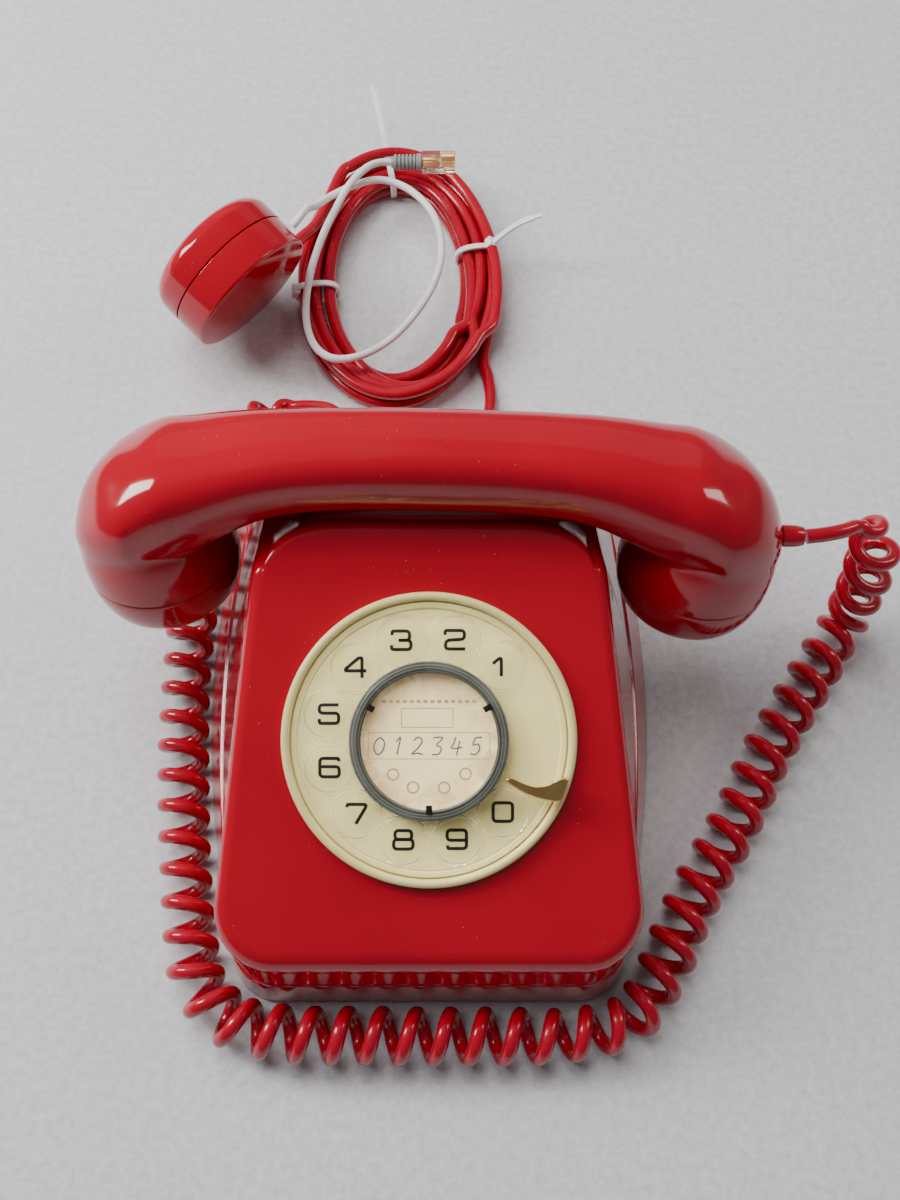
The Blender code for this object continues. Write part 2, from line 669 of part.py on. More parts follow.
def dial_fixed(dial, governor_at):
    """What stays still behind the dial: its frame, return spring, governor drum and pulse contacts."""
    top = -SPIGOT_DEPTH - GAP
    ring = disc(FRAME_RADIUS, top - FRAME_THICK, top, hole=SHAFT_RADIUS + RUNNING, segments=32)
    frame = piece("dial_frame", ring, "steel", dial)
    at = Matrix.Translation((*governor_at, 0))
    hole = disc(SPINDLE_RADIUS + RUNNING, top - 5 * MM, top + 2 * MM, segments=12)
    cut(frame, piece("spindle_hole", hole, "steel", dial, at))
    wall = 1 * MM
    drum = [
        (2 * MM, DRUM_BOTTOM),
        (GOVERNOR_RADIUS, DRUM_BOTTOM),
        (GOVERNOR_RADIUS, DRUM_TOP),
        (GOVERNOR_RADIUS - wall, DRUM_TOP),
        (GOVERNOR_RADIUS - wall, DRUM_BOTTOM + wall),
        (2 * MM, DRUM_BOTTOM + wall),
    ]
    piece("governor_drum", lathe(drum, 20), "steel", dial, at)
    spring = bmesh.new()
    turns, steps = 2.5, 16
    inner, outer, thick = SHAFT_RADIUS + 1.2 * MM, 13 * MM, 0.6 * MM
    sections = []
    for i in range(round(turns * steps) + 1):
        angle = math.tau * i / steps
        radius = inner + (outer - inner) * i / (turns * steps)
        low, high = GEAR_TOP - GEAR_THICK - 4.5 * MM, GEAR_TOP - GEAR_THICK - 1 * MM
        corners = ((radius, low), (radius + thick, low), (radius + thick, high), (radius, high))
        sections.append([spring.verts.new((r * math.cos(angle), r * math.sin(angle), z)) for r, z in corners])
    for a, b in zip(sections, sections[1:]):
        for i in range(4):
            j = (i + 1) % 4
            spring.faces.new((a[i], a[j], b[j], b[i]))
    spring.faces.new(sections[0])
    spring.faces.new(reversed(sections[-1]))
    piece("return_spring", spring, "steel", dial)
    inside = GEAR_MODULE * MAIN_TEETH / 2 + 6 * MM
    block_top = top - FRAME_THICK - GAP
    block = box((inside, -8 * MM, block_top - 11 * MM), (inside + 7 * MM, 8 * MM, block_top), 0.6 * MM)
    contacts = piece("pulse_contacts", block, "black_plastic", dial)
    leaves = []
    for i in range(3):
        z = block_top - 9.4 * MM + 3 * i * MM
        leaf = box((inside + 1 * MM, 6 * MM, z), (inside + 6 * MM, 22 * MM, z + 0.6 * MM))
        leaves.append(piece(f"pulse_leaf_{i}", leaf, "brass", dial))
    join(contacts, *leaves)


def finger_stop(dial):
    """The gilt hook: a foot outside the wheel, an arch over its edge, and a blade that narrows inwards."""
    over = WHEEL_BOTTOM + WHEEL_THICK + 1.2 * MM
    blade = [
        (STOP_TIP_RADIUS, 0.6 * MM),
        (30 * MM, -1.4 * MM),
        (36 * MM, -2.0 * MM),
        (DIAL_RADIUS - 2.0 * MM, -4.4 * MM),
        (DIAL_RADIUS - 0.4 * MM, -3.8 * MM),
        (DIAL_RADIUS - 0.4 * MM, 3.4 * MM),
        (DIAL_RADIUS - 2.0 * MM, 4.0 * MM),
        (36 * MM, 2.2 * MM),
        (30 * MM, 1.8 * MM),
    ]
    turn = Matrix.Rotation(STOP_ANGLE, 4, "Z")
    stop = piece("finger_stop", prism(blade, over, over + 1.3 * MM), "gilt_metal", dial, turn)
    low, high = DIAL_RIM_HEIGHT + GAP, over + 0.6 * MM
    foot = box((DIAL_RADIUS - 2.0 * MM, -3.4 * MM, low), (DIAL_RADIUS - 0.6 * MM, 3.2 * MM, high))
    join(stop, piece("stop_foot", foot, "gilt_metal", dial, turn))


# ------------------------------------------------------------------ hook switch
def hook_switch():
    for side, word in ((-1, "left"), (1, "right")):
        axis = empty(f"plunger_{word}_axis", Matrix.Translation((side * PLUNGER_X, PLUNGER_Y, 0)))
        profile = [
            (0, PLUNGER_BOTTOM),
            (PLUNGER_RADIUS + PLUNGER_COLLAR, PLUNGER_BOTTOM),
            (PLUNGER_RADIUS + PLUNGER_COLLAR, PLUNGER_BOTTOM + 2 * MM),
            (PLUNGER_RADIUS, PLUNGER_BOTTOM + 2 * MM),
            (PLUNGER_RADIUS, PLUNGER_TOP - 1.4 * MM),
            (PLUNGER_RADIUS - 1.4 * MM, PLUNGER_TOP),
            (0, PLUNGER_TOP),
        ]
        piece(f"plunger_{word}", lathe(profile, 20), "red_plastic", axis)
    pivot = empty("hook_lever_axis", Matrix.Translation((0, LEVER_PIVOT_Y, LEVER_PIVOT_Z)))
    bar_top = PLUNGER_BOTTOM - GAP - LEVER_PIVOT_Z
    reach = PLUNGER_Y - LEVER_PIVOT_Y
    half = PLUNGER_X + 4 * MM
    bar = box((-half, reach - 2.5 * MM, bar_top - 3 * MM), (half, reach + 2.5 * MM, bar_top))
    lever = piece("hook_lever", bar, "steel", pivot)
    arm_x = BRACKET_HALF_WIDTH + 1 * MM
    eye, end = PIN_RADIUS + 1.5 * MM, reach + 2 * MM
    under = bar_top - 0.2 * MM
    arm_line = [(-eye, -eye), (eye, -eye), (end, bar_top - 3 * MM)]
    arm_line += [(end, under), (reach - 2 * MM, under), (-eye, eye)]
    arms = []
    turn = Matrix.Rotation(math.radians(90), 4, "Z") @ Matrix.Rotation(math.radians(90), 4, "X")
    for side, low in ((-1, -arm_x - SHEET), (1, arm_x)):
        arms.append(piece(f"lever_arm_{side}", prism(arm_line, low, low + SHEET), "steel", pivot, turn))
    pin = disc(PIN_RADIUS, -arm_x - 1 * MM, arm_x + 1 * MM, segments=14)
    join(lever, *arms, piece("lever_pin", pin, "steel", pivot, Matrix.Rotation(math.radians(90), 4, "Y")))

    floor = RIM_HEIGHT + GAP + BASE_THICK + GAP
    w, y = BRACKET_HALF_WIDTH, LEVER_PIVOT_Y
    web_low, web_high, web_front = LEVER_PIVOT_Z - 15 * MM, LEVER_PIVOT_Z - 5 * MM, y - 6 * MM
    web = box((-w, web_front, web_low), (w, web_front + SHEET, web_high))
    bracket = piece("hook_bracket", web, "steel")
    parts = []
    for side in (-1, 1):
        inner, outer = sorted((side * w, side * (w - SHEET)))
        leg = box((inner, y - 7 * MM, floor), (outer, y + 4 * MM, LEVER_PIVOT_Z + PIN_RADIUS + 2.5 * MM))
        parts.append(piece(f"bracket_leg_{side}", leg, "steel"))
        inner, outer = sorted((side * (w - 0.5 * MM), side * (w + 9 * MM)))
        foot = box((inner, y - 6.5 * MM, floor), (outer, y + 3.5 * MM, floor + 1.5 * MM))
        parts.append(piece(f"bracket_foot_{side}", foot, "steel"))
    join(bracket, *parts)
    bore = disc(PIN_RADIUS + RUNNING, -w - 4 * MM, w + 4 * MM, segments=14)
    across = Matrix.Translation((0, LEVER_PIVOT_Y, LEVER_PIVOT_Z)) @ Matrix.Rotation(math.radians(90), 4, "Y")
    cut(bracket, piece("bracket_bore", bore, "steel", place=across))
    back = web_front + SHEET + GAP
    block = box((-8 * MM, back, web_low), (8 * MM, back + 6.7 * MM, web_high), 0.6 * MM)
    contacts = piece("hook_contacts", block, "black_plastic")
    leaves = []
    for i in range(3):
        z = web_low + 2 * MM + 2.6 * i * MM
        leaf = box((-5 * MM, back + 4.7 * MM, z), (5 * MM, back + 22.7 * MM, z + 0.6 * MM))
        leaves.append(piece(f"hook_leaf_{i}", leaf, "brass"))
    join(contacts, *leaves)


# ------------------------------------------------------------------ ringer and circuit
def ringer():
    floor = RIM_HEIGHT + GAP + BASE_THICK + GAP
    edge = 12 * MM
    plate = box((-GONG_X - edge, GONG_Y - 10 * MM, floor), (GONG_X + edge, GONG_Y + 10 * MM, floor + SHEET))
    frame = piece("ringer_frame", plate, "steel")
    tongue = box((-12 * MM, 12 * MM, floor), (12 * MM, GONG_Y - 5 * MM, floor + SHEET))
    parts = [piece("ringer_tongue", tongue, "steel")]
    top = GONG_RIM_Z + GONG_HEIGHT
    bolt, shoulder, seat = GONG_BOLT_RADIUS, 4 * MM, top - GONG_WALL - GAP
    low, high = floor + 1 * MM, top + 3 * MM
    post_line = [(0, low), (shoulder, low), (shoulder, seat), (bolt, seat), (bolt, high), (0, high)]
    for side in (-1, 1):
        place = Matrix.Translation((side * GONG_X, GONG_Y, 0))
        parts.append(piece(f"gong_post_{side}", lathe(post_line, 14), "steel", place=place))
    level = floor + 9.4 * MM
    pivot = disc(CLAPPER_POST_RADIUS, floor + 1 * MM, level + 4 * MM, segments=12)
    parts.append(piece("clapper_post", pivot, "steel", place=Matrix.Translation((0, CLAPPER_PIVOT_Y, 0))))
    join(frame, *parts)
    r, t, eye = GONG_RADIUS, GONG_WALL, GONG_BOLT_RADIUS + GAP
    bell = [
        (r - t, GONG_RIM_Z),
        (r, GONG_RIM_Z),
        (r - 1 * MM, top - 5 * MM),
        (r - 4 * MM, top - 1.2 * MM),
        (r - 9 * MM, top),
        (eye, top),
        (eye, top - t),
        (r - 9.4 * MM, top - t),
        (r - 5 * MM, top - 2.2 * MM),
        (r - t - 1 * MM, top - 5.4 * MM),
    ]
    for side, word in ((-1, "left"), (1, "right")):
        piece(f"gong_{word}", lathe(bell, 20), "brass", place=Matrix.Translation((side * GONG_X, GONG_Y, 0)))
    flange, winding, half = 8 * MM, 6.8 * MM, 14 * MM
    inner = half - 1.5 * MM
    spool = [(0, -half), (flange, -half), (flange, -inner), (winding, -inner)]
    spool += [(radius, -height) for radius, height in reversed(spool)]
    coil_at = (0, CLAPPER_PIVOT_Y - 12 * MM, floor + SHEET + GAP + flange)
    piece("ringer_coil", lathe(spool, 20), "copper_winding", place=along((1, 0, 0), coil_at))
    axis = empty("clapper_axis", Matrix.Translation((0, CLAPPER_PIVOT_Y, 0)))
    hub = disc(3.2 * MM, level - 1.5 * MM, level + 1.5 * MM, hole=CLAPPER_POST_RADIUS + RUNNING, segments=16)
    clapper = piece("clapper", hub, "steel", axis)
    reach = GONG_Y - CLAPPER_PIVOT_Y
    rod = box((-0.7 * MM, 2.4 * MM, level - 0.7 * MM), (0.7 * MM, reach, level + 0.7 * MM))
    head = disc(CLAPPER_RADIUS, level - 3 * MM, level + 3 * MM, segments=14)
    ball = piece("clapper_head", head, "brass", axis, Matrix.Translation((0, reach, 0)))
    join(clapper, piece("clapper_rod", rod, "steel", axis), ball)


def circuit():
    front, rear, left, right = -84 * MM, -12 * MM, -48 * MM, 48 * MM
    corner = 8 * MM
    loop = [(left, front), (right - corner, front), (right, front + corner), (right, rear), (left, rear)]
    board = piece("circuit_board", prism(loop, BOARD_BOTTOM, BOARD_BOTTOM + BOARD_THICK), "board")
    notches = []
    x, y = SCREW_PLACES["front"]
    for side in (-1, 1):
        notch = disc(POST_RADIUS + 1 * MM, 0, BOARD_BOTTOM + 20 * MM, segments=16)
        place = Matrix.Translation((side * x, y, 0))
        notches.append(piece(f"board_notch_{side}", notch, "board", place=place))
    cut(board, *notches)
    up = BOARD_BOTTOM + BOARD_THICK + GAP
    iron = box((-34 * MM, -46 * MM, up), (-12 * MM, -22 * MM, up + 14 * MM), 0.8 * MM)
    core = piece("induction_coil", iron, "steel")
    winding = box((-38 * MM, -41 * MM, up + 2.5 * MM), (-8 * MM, -27 * MM, up + 11.5 * MM), 2 * MM)
    join(core, piece("coil_winding", winding, "copper_winding"))
    can = box((2 * MM, -40 * MM, up), (32 * MM, -24 * MM, up + 10 * MM), 1.5 * MM)
    piece("capacitor", can, "ivory_plastic")
    strip = box((-28 * MM, -76 * MM, up), (28 * MM, -62 * MM, up + 8 * MM), 0.8 * MM)
    block = piece("terminal_block", strip, "black_plastic")
    wells = []
    for i in range(6):
        well = disc(2.4 * MM, up + 4 * MM, up + 12 * MM, segments=10)
        place = Matrix.Translation(((-22.5 + 9 * i) * MM, -69 * MM, 0))
        wells.append(piece(f"terminal_well_{i}", well, "brass", place=place))
    cut(block, *wells)


# ------------------------------------------------------------------ handset
def handset_sections():
    """(x, z, lean in degrees, half depth, half height), from the handle's middle to the right cup's seam."""
    x, r = CUP_X, CUP_RADIUS
    return [
        (0, 0, 0, 15.0 * MM, 12.0 * MM),
        (22 * MM, -0.4 * MM, -2, 15.0 * MM, 12.0 * MM),
        (40 * MM, -1.7 * MM, -6, 15.6 * MM, 12.3 * MM),
        (53 * MM, -3.9 * MM, -13, 17.2 * MM, 13.2 * MM),
        (x - 20 * MM, -8.2 * MM, -27, r - 4.7 * MM, r - 8.7 * MM),
        (x - 11 * MM, -14.6 * MM, -45, r - 2.5 * MM, r - 5.3 * MM),
        (x - 5 * MM, -22.6 * MM, -62, r - 1.1 * MM, r - 2.7 * MM),
        (x - 1.7 * MM, -31.5 * MM, -79, r - 0.3 * MM, r - 1.1 * MM),
        (x, CUP_SEAM, -90 - math.degrees(CUP_TOE_IN), r, r),
    ]


def handset_loop(section, side, count=20):
    """One cross-section: nearly round at the cup, flatter faced along the handle."""
    x, z, lean, depth, height = section
    square = 2.0 + 0.7 * max(0.0, 1 - x / (CUP_X - 9 * MM))
    along_x, along_z = math.cos(math.radians(lean)), math.sin(math.radians(lean))
    points = []
    for i in range(count):
        a = math.tau * (i + 0.5) / count
        c, s = math.cos(a), math.sin(a)
        v = math.copysign(abs(c) ** (2 / square), c) * depth
        n = math.copysign(abs(s) ** (2 / square), s) * height
        points.append(Vector((side * (x - n * along_z), v, z + n * along_x)))
    return points


def cup_place(side):
    """The place of a cup: its origin in the seam, +Z along its axis and out of the cap."""
    axis = Vector((-side * math.sin(CUP_TOE_IN), 0, -math.cos(CUP_TOE_IN)))
    return along(axis, (side * CUP_X, 0, CUP_SEAM))


def handset(carrier):
    bm = bmesh.new()
    right = handset_sections()
    loops = [handset_loop(s, -1) for s in reversed(right)] + [handset_loop(s, 1) for s in right[1:]]
    rings = [[bm.verts.new(p) for p in loop] for loop in loops]
    for a, b in zip(rings, rings[1:]):
        for i in range(len(a)):
            j = (i + 1) % len(a)
            bm.faces.new((a[i], a[j], b[j], b[i]))
    bm.faces.new(rings[0])
    bm.faces.new(reversed(rings[-1]))
    shell = piece("handset_shell", bm, "red_plastic", carrier, sharp=60)
    cutters = []
    for side in (-1, 1):
        bore = disc(CUP_BORE, -CUP_BORE_DEPTH, 4 * MM, segments=24)
        cutters.append(piece(f"cup_bore_{side}", bore, "red_plastic", carrier, cup_place(side)))
    gland_bore = disc(GLAND_RADIUS - 1 * MM + GAP, -16 * MM, 10 * MM, segments=14)
    cutters.append(piece("gland_bore", gland_bore, "red_plastic", carrier, gland_place()))
    cut(shell, *cutters)
    r = CAPSULE_RADIUS
    capsule = [(0, -10 * MM), (r - 3 * MM, -10 * MM), (r, -6 * MM), (r, 0), (r - 2 * MM, 2 * MM), (0, 2 * MM)]
    for side, end, insert in ((-1, "earpiece", "receiver"), (1, "mouthpiece", "transmitter")):
        cap(f"{end}_cap", side, carrier)
        piece(f"{insert}_capsule", lathe(capsule, 24), "steel", carrier, cup_place(side))


def cap(name, side, carrier):
    """A screw-on cap: a domed skirt, a spigot that fits in the cup's bore, and sound holes in its floor."""
    r, d = CUP_RADIUS, CAP_DEPTH
    spigot = CUP_BORE - GAP
    profile = [
        (spigot - 1.3 * MM, -5 * MM),
        (spigot, -5 * MM),
        (spigot, GAP),
        (r - 0.4 * MM, GAP),
        (r - 0.1 * MM, 2 * MM),
        (r - 0.9 * MM, d * 0.45),
        (r - 3.0 * MM, d * 0.78),
        (r - 6.0 * MM, d * 0.95),
        (r - 10.0 * MM, d),
        (0, d - 1.4 * MM),
        (0, d - 3.4 * MM),
        (r - 10.0 * MM, d - 2.2 * MM),
        (r - 7.0 * MM, d - 3.6 * MM),
        (spigot - 1.3 * MM, d * 0.45),
    ]
    made = piece(name, lathe(profile, 20), "red_plastic", carrier, cup_place(side))
    holes = []
    for i in range(6):
        angle = math.tau * i / 6
        at = cup_place(side) @ Matrix.Translation((8 * MM * math.cos(angle), 8 * MM * math.sin(angle), 0))
        hole = disc(1.3 * MM, d - 8 * MM, d + 4 * MM, segments=6)
        holes.append(piece(f"{name}_hole_{i}", hole, "red_plastic", carrier, at))
    return cut(made, *holes)


def gland_place():
    """Where the cord leaves the right cup: level, out of its end."""
    return along((1, 0, 0), (CUP_X + CUP_RADIUS - 1.7 * MM, 0.5 * MM, GLAND_HEIGHT))


def handset_gland(carrier):
    """A stub that grips the cord: its neck in the cup's wall, its sleeve outside."""
    r, neck, end = GLAND_RADIUS, GLAND_RADIUS - 1 * MM, 9 * MM
    profile = [(0, -10 * MM), (neck, -10 * MM), (neck, 2.2 * MM), (r, 2.2 * MM)]
    profile += [(r, 6 * MM), (r - 0.5 * MM, end), (0, end)]
    piece("handset_gland", lathe(profile, 14), "red_plastic", carrier, gland_place())


# ------------------------------------------------------------------ cords
CURLY_ROUTE = [
    (136.5, 33.5, 73),
    (141.5, 34.5, 64),
    (145.5, 34, 50),
    (147.5, 33, 34),
    (148.3, 32, 21.5),
    (146.5, 28.3, 12.5),
    (142, 21.5, 9.5),
    (132.5, 7.3, 9.3),
    (122.4, -7.5, 9.3),
    (113.3, -21.8, 9.3),
    (105.8, -35.8, 9.3),
    (97.8, -49.4, 9.3),
    (89, -62.6, 9.3),
    (81.2, -76.5, 9.3),
    (73.5, -92, 9.3),
    (62.5, -106.2, 9.3),
    (44, -111, 9.3),
    (22, -111.4, 9.3),
    (0, -111.4, 9.3),
    (-22, -111.2, 9.3),
    (-42, -110.8, 9.3),
    (-60.5, -107.2, 9.3),
    (-72, -96, 9.3),
    (-76, -82, 9.3),
    (-78.6, -65, 9.3),
    (-81, -45, 9.3),
    (-82.9, -24, 9.3),
    (-84.1, -3, 9.3),
    (-84.4, 16, 9.3),
    (-83.8, 38, 9.3),
    (-82, 60, 9.3),
    (-79.5, 82, 9.3),
    (-75, 101, 9.5),
    (-67, 113.5, 10),
    (-56, 118, 11),
    (-44.5, 117.5, 12.5),
]
LEAD_ROUTE = [(116.2, 28, 75.9), (121, 28.4, 76.2), (127, 29.8, 75.8), (133.6, 32.3, 74.4)]
TAIL_ROUTE = [
    (-43.4, 117.3, 12.7),
    (-38, 115.8, 13.3),
    (-33, 111.5, 13.9),
    (-30.3, 107.5, 14),
    (-30, 101, 14),
    (-30, 95, 14),
]
LINE_ROUTE = [
    (20, 93, 12),
    (20, 102, 12),
    (20, 106.5, 11.8),
    (20.8, 112, 9),
    (22.2, 116.5, 5.4),
    (23.6, 121.5, 3.2),
    (24.2, 129, 2.7),
    (23.2, 138, 2.9),
    (21.8, 146.5, 3.8),
]
WHITE_ROUTE = [
    (-51.9, 178.4, 43),
    (-49.4, 181, 44.4),
    (-47.2, 186, 43.4),
    (-46.2, 193.5, 36.5),
    (-44.8, 202, 28),
    (-40, 212.5, 21.5),
    (-31, 221.5, 18),
    (-20, 225.5, 17),
    (-8, 220.5, 16.6),
    (1.5, 208, 16.6),
    (5, 192, 16.6),
    (3, 176, 16.6),
    (-3.5, 161, 16.6),
    (-13.5, 147, 16.6),
    (-25, 138.5, 16.6),
    (-36, 136.5, 16.6),
    (-43.5, 141.5, 16.6),
    (-47.5, 152, 16.6),
    (-48.3, 165, 16.8),
    (-46.5, 180, 17.8),
    (-42.5, 195, 19.2),
    (-37.5, 207.5, 20.8),
    (-32.5, 218, 22.2),
    (-26, 227, 22),
    (-20.6, 231.6, 20.4),
    (-16, 232.7, 19.4),
]
PLUG_AT = Vector((-15.2, 232.8, 19.3)) * MM


def cords():
    runs = [
        ("handset_cord", CURLY_ROUTE, 18 * MM, CURLY_RADIUS, "red_plastic"),
        ("handset_cord_lead", LEAD_ROUTE, 4 * MM, CURLY_WIRE_RADIUS, "red_plastic"),
        ("handset_cord_tail", TAIL_ROUTE, 6 * MM, CURLY_WIRE_RADIUS, "red_plastic"),
        ("line_cord", LINE_ROUTE, 6 * MM, LINE_RADIUS, "red_plastic"),
        ("wall_lead", WHITE_ROUTE, 9 * MM, WHITE_RADIUS, "white_pvc"),
    ]
    for name, route, spacing, radius, finish in runs:
        tube(name, smooth_route([Vector(p) * MM for p in route], spacing), radius, finish)


def line_coil():
    """The wound line cord as one oval ring."""
    bm = bmesh.new()
    around, across = 30, 8
    rings = []
    for i in range(around):
        a = math.tau * i / around
        middle = COIL_CENTRE + Vector((COIL_HALF_WIDTH * math.cos(a), COIL_HALF_LENGTH * math.sin(a), 0))
        out = Vector((math.cos(a) / COIL_HALF_WIDTH, math.sin(a) / COIL_HALF_LENGTH, 0)).normalized()
        ring = []
        for k in range(across):
            b = math.tau * (k + 0.5) / across
            offset = out * math.cos(b) + Vector((0, 0, math.sin(b)))
            ring.append(bm.verts.new(middle + COIL_BUNDLE_RADIUS * offset))
        rings.append(ring)
    for a, b in zip(rings, rings[1:] + rings[:1]):
        for i in range(across):
            j = (i + 1) % across
            bm.faces.new((a[i], a[j], b[j], b[i]))
    piece("line_cord_coil", bm, "red_plastic")


def wall_box():
    """A round junction box on its edge, leaning on the coil: base, domed cover, and the cover's screw."""
    place = along(BOX_AXIS, BOX_CENTRE)
    r, back = BOX_RADIUS, -(BOX_BASE_THICK + BOX_COVER_THICK) / 2
    seam = back + BOX_BASE_THICK
    front = seam + BOX_COVER_THICK
    base = [(0, back), (r - 1 * MM, back), (r, back + 1 * MM), (r, seam - GAP / 2), (0, seam - GAP / 2)]
    piece("wall_box_base", lathe(base, 28), "red_plastic", place=place)
    cover = [
        (0, seam + GAP / 2),
        (r, seam + GAP / 2),
        (r, front - 7 * MM),
        (r - 2 * MM, front - 3.2 * MM),
        (r - 6.5 * MM, front - 1.0 * MM),
        (r - 12 * MM, front - 0.2 * MM),
        (0, front),
    ]
    box_cover = piece("wall_box_cover", lathe(cover, 28), "red_plastic", place=place)
    floor, shank = front - 4 * MM, 1.8 * MM
    pit = disc(shank + 0.4 * MM, floor, front + 4 * MM, segments=12)
    cut(box_cover, piece("screw_pit", pit, "steel", place=place))
    head = front + 1 * MM
    low, shoulder = floor + GAP, head - 0.4 * MM
    screw = [(0, low), (shank, low), (shank, shoulder), (shank - 0.6 * MM, head), (0, head)]
    piece("wall_box_screw", lathe(screw, 12), "steel", place=place)


def plug():
    lying = Matrix(((0, 0, 1, 0), (0, 1, 0, 0), (-1, 0, 0, 0), (0, 0, 0, 1)))
    place = Matrix.Translation(PLUG_AT) @ lying
    mouth, boot_end = WHITE_RADIUS + 1.3 * MM, 12 * MM
    boot = [(0, 0), (mouth, 0), (3.0 * MM, 2 * MM), (3.2 * MM, 9 * MM), (3.0 * MM, boot_end), (0, boot_end)]
    piece("plug_boot", lathe(boot, 14), "grey_rubber", place=place)
    low, high = boot_end + GAP, boot_end + 14 * MM
    block = box((-4.2 * MM, -2.6 * MM, low), (4.2 * MM, 2.6 * MM, high), 0.5 * MM)
    body = piece("plug_body", block, "clear_plastic", place=place)
    latch = box((-1.4 * MM, -5.4 * MM, low + 1.7 * MM), (1.4 * MM, -2.0 * MM, high - 4 * MM), 0.4 * MM)
    join(body, piece("plug_latch", latch, "clear_plastic", place=place))


def cable_tie(name, angle, lift, tail):
    """A tie round the bundle: a flat strap in a ring, its head on top, and its tail standing off."""
    a = math.radians(angle)
    at = COIL_CENTRE + Vector((COIL_HALF_WIDTH * math.cos(a), COIL_HALF_LENGTH * math.sin(a), 0))
    way = Vector((-COIL_HALF_WIDTH * math.sin(a), COIL_HALF_LENGTH * math.cos(a), 0))
    inner = COIL_BUNDLE_RADIUS + 2 * GAP
    outer = inner + TIE_THICK
    half = TIE_WIDTH / 2
    ring = disc(outer, -half, half, hole=inner, segments=16)
    strap = piece(name, ring, "nylon", place=along(way, at))
    out = Vector((math.cos(a) / COIL_HALF_WIDTH, math.sin(a) / COIL_HALF_LENGTH, 0)).normalized()
    head_at = at + (out * math.cos(lift) + Vector((0, 0, math.sin(lift)))) * (inner + 2.2 * MM)
    head = box((-1.9 * MM, -2.2 * MM, -1.9 * MM), (1.9 * MM, 2.2 * MM, 1.9 * MM), 0.3 * MM)
    parts = [piece(f"{name}_head", head, "nylon", place=along(way, head_at))]
    if tail:
        length, rise = tail
        direction = out * length + Vector((0, 0, rise))
        strip = box((-1.1 * MM, -0.45 * MM, -0.5 * MM), (1.1 * MM, 0.45 * MM, direction.length))
        frame = direction.to_track_quat("Z", "Y").to_matrix().to_4x4()
        parts.append(piece(f"{name}_tail", strip, "nylon", place=Matrix.Translation(head_at) @ frame))
    join(strap, *parts)


# ------------------------------------------------------------------ assembly
def main():
    clear_scene()
    dial_place = Matrix.Translation((0, DIAL_Y, DIAL_Z)) @ Matrix.Rotation(FACE_TILT, 4, "X")
    body_shell(dial_place)
    base_and_feet()
    grommet("line_cord_grommet", LINE_EXIT, LINE_RADIUS)
    grommet("handset_cord_grommet", CURLY_EXIT, CURLY_WIRE_RADIUS)

    dial = empty("dial_axis", dial_place)
    centres = GEAR_MODULE * (MAIN_TEETH + PINION_TEETH) / 2
    governor_at = (centres * math.cos(PINION_ANGLE), centres * math.sin(PINION_ANGLE))
    governor = empty("governor_axis", dial_place @ Matrix.Translation((*governor_at, 0)))
    number_plate(dial)
    finger_wheel(dial)
    dial_centre(dial)
    dial_train(dial, governor)
    dial_fixed(dial, governor_at)
    finger_stop(dial)

    hook_switch()
    ringer()
    circuit()

    carrier = empty(
        "handset_axis",
        Matrix.Translation((0, HANDSET_Y, HANDSET_Z))
        @ Matrix.Rotation(HANDSET_YAW, 4, "Z")
        @ Matrix.Rotation(-HANDSET_LEAN, 4, "X"),
    )
    handset(carrier)
    handset_gland(carrier)

    cords()
    line_coil()
    wall_box()
    plug()
    cable_tie("tie_top", 97, math.radians(50), (36 * MM, 4 * MM))
    cable_tie("tie_left", 188, math.radians(12), None)
    cable_tie("tie_right", 12, math.radians(50), (20 * MM, 14 * MM))


main()
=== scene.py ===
"""The looks of a red rotary-dial telephone: case, dial, handset, curly cord, line cord and wall box.

Laid out as an add-on whose panel lists one operator for each group of pieces. Run as a script, it
loads the telephone's frame, models every visible piece round it and sets a plain studio.
Metres, +Z up, +Y away from whoever dials.
"""

import json
import math

import bmesh
import bpy
import numpy as np
from bpy.props import FloatProperty, FloatVectorProperty, PointerProperty
from mathutils import Matrix, Vector


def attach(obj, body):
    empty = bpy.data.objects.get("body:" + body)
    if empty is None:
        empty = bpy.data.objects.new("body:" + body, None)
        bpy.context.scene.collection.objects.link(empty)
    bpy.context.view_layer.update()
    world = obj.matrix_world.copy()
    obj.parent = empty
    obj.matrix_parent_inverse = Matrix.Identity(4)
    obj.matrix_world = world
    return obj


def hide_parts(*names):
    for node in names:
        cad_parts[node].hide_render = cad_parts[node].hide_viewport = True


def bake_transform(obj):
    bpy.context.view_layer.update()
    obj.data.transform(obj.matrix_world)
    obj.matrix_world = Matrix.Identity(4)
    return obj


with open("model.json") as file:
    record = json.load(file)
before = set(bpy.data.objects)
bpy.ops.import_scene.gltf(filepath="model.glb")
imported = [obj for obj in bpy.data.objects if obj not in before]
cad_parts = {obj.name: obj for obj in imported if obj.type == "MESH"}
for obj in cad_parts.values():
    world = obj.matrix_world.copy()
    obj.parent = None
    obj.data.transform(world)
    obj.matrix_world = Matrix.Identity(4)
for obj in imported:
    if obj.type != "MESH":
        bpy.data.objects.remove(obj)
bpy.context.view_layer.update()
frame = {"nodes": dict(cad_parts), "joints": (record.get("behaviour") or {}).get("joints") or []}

bl_info = {
    "name": "Rotary Telephone",
    "version": (1, 0, 0),
    "blender": (4, 5, 0),
    "location": "View3D > Sidebar > Telephone",
    "description": "Models a red rotary-dial telephone with its cords round a loaded frame",
    "category": "Add Mesh",
}

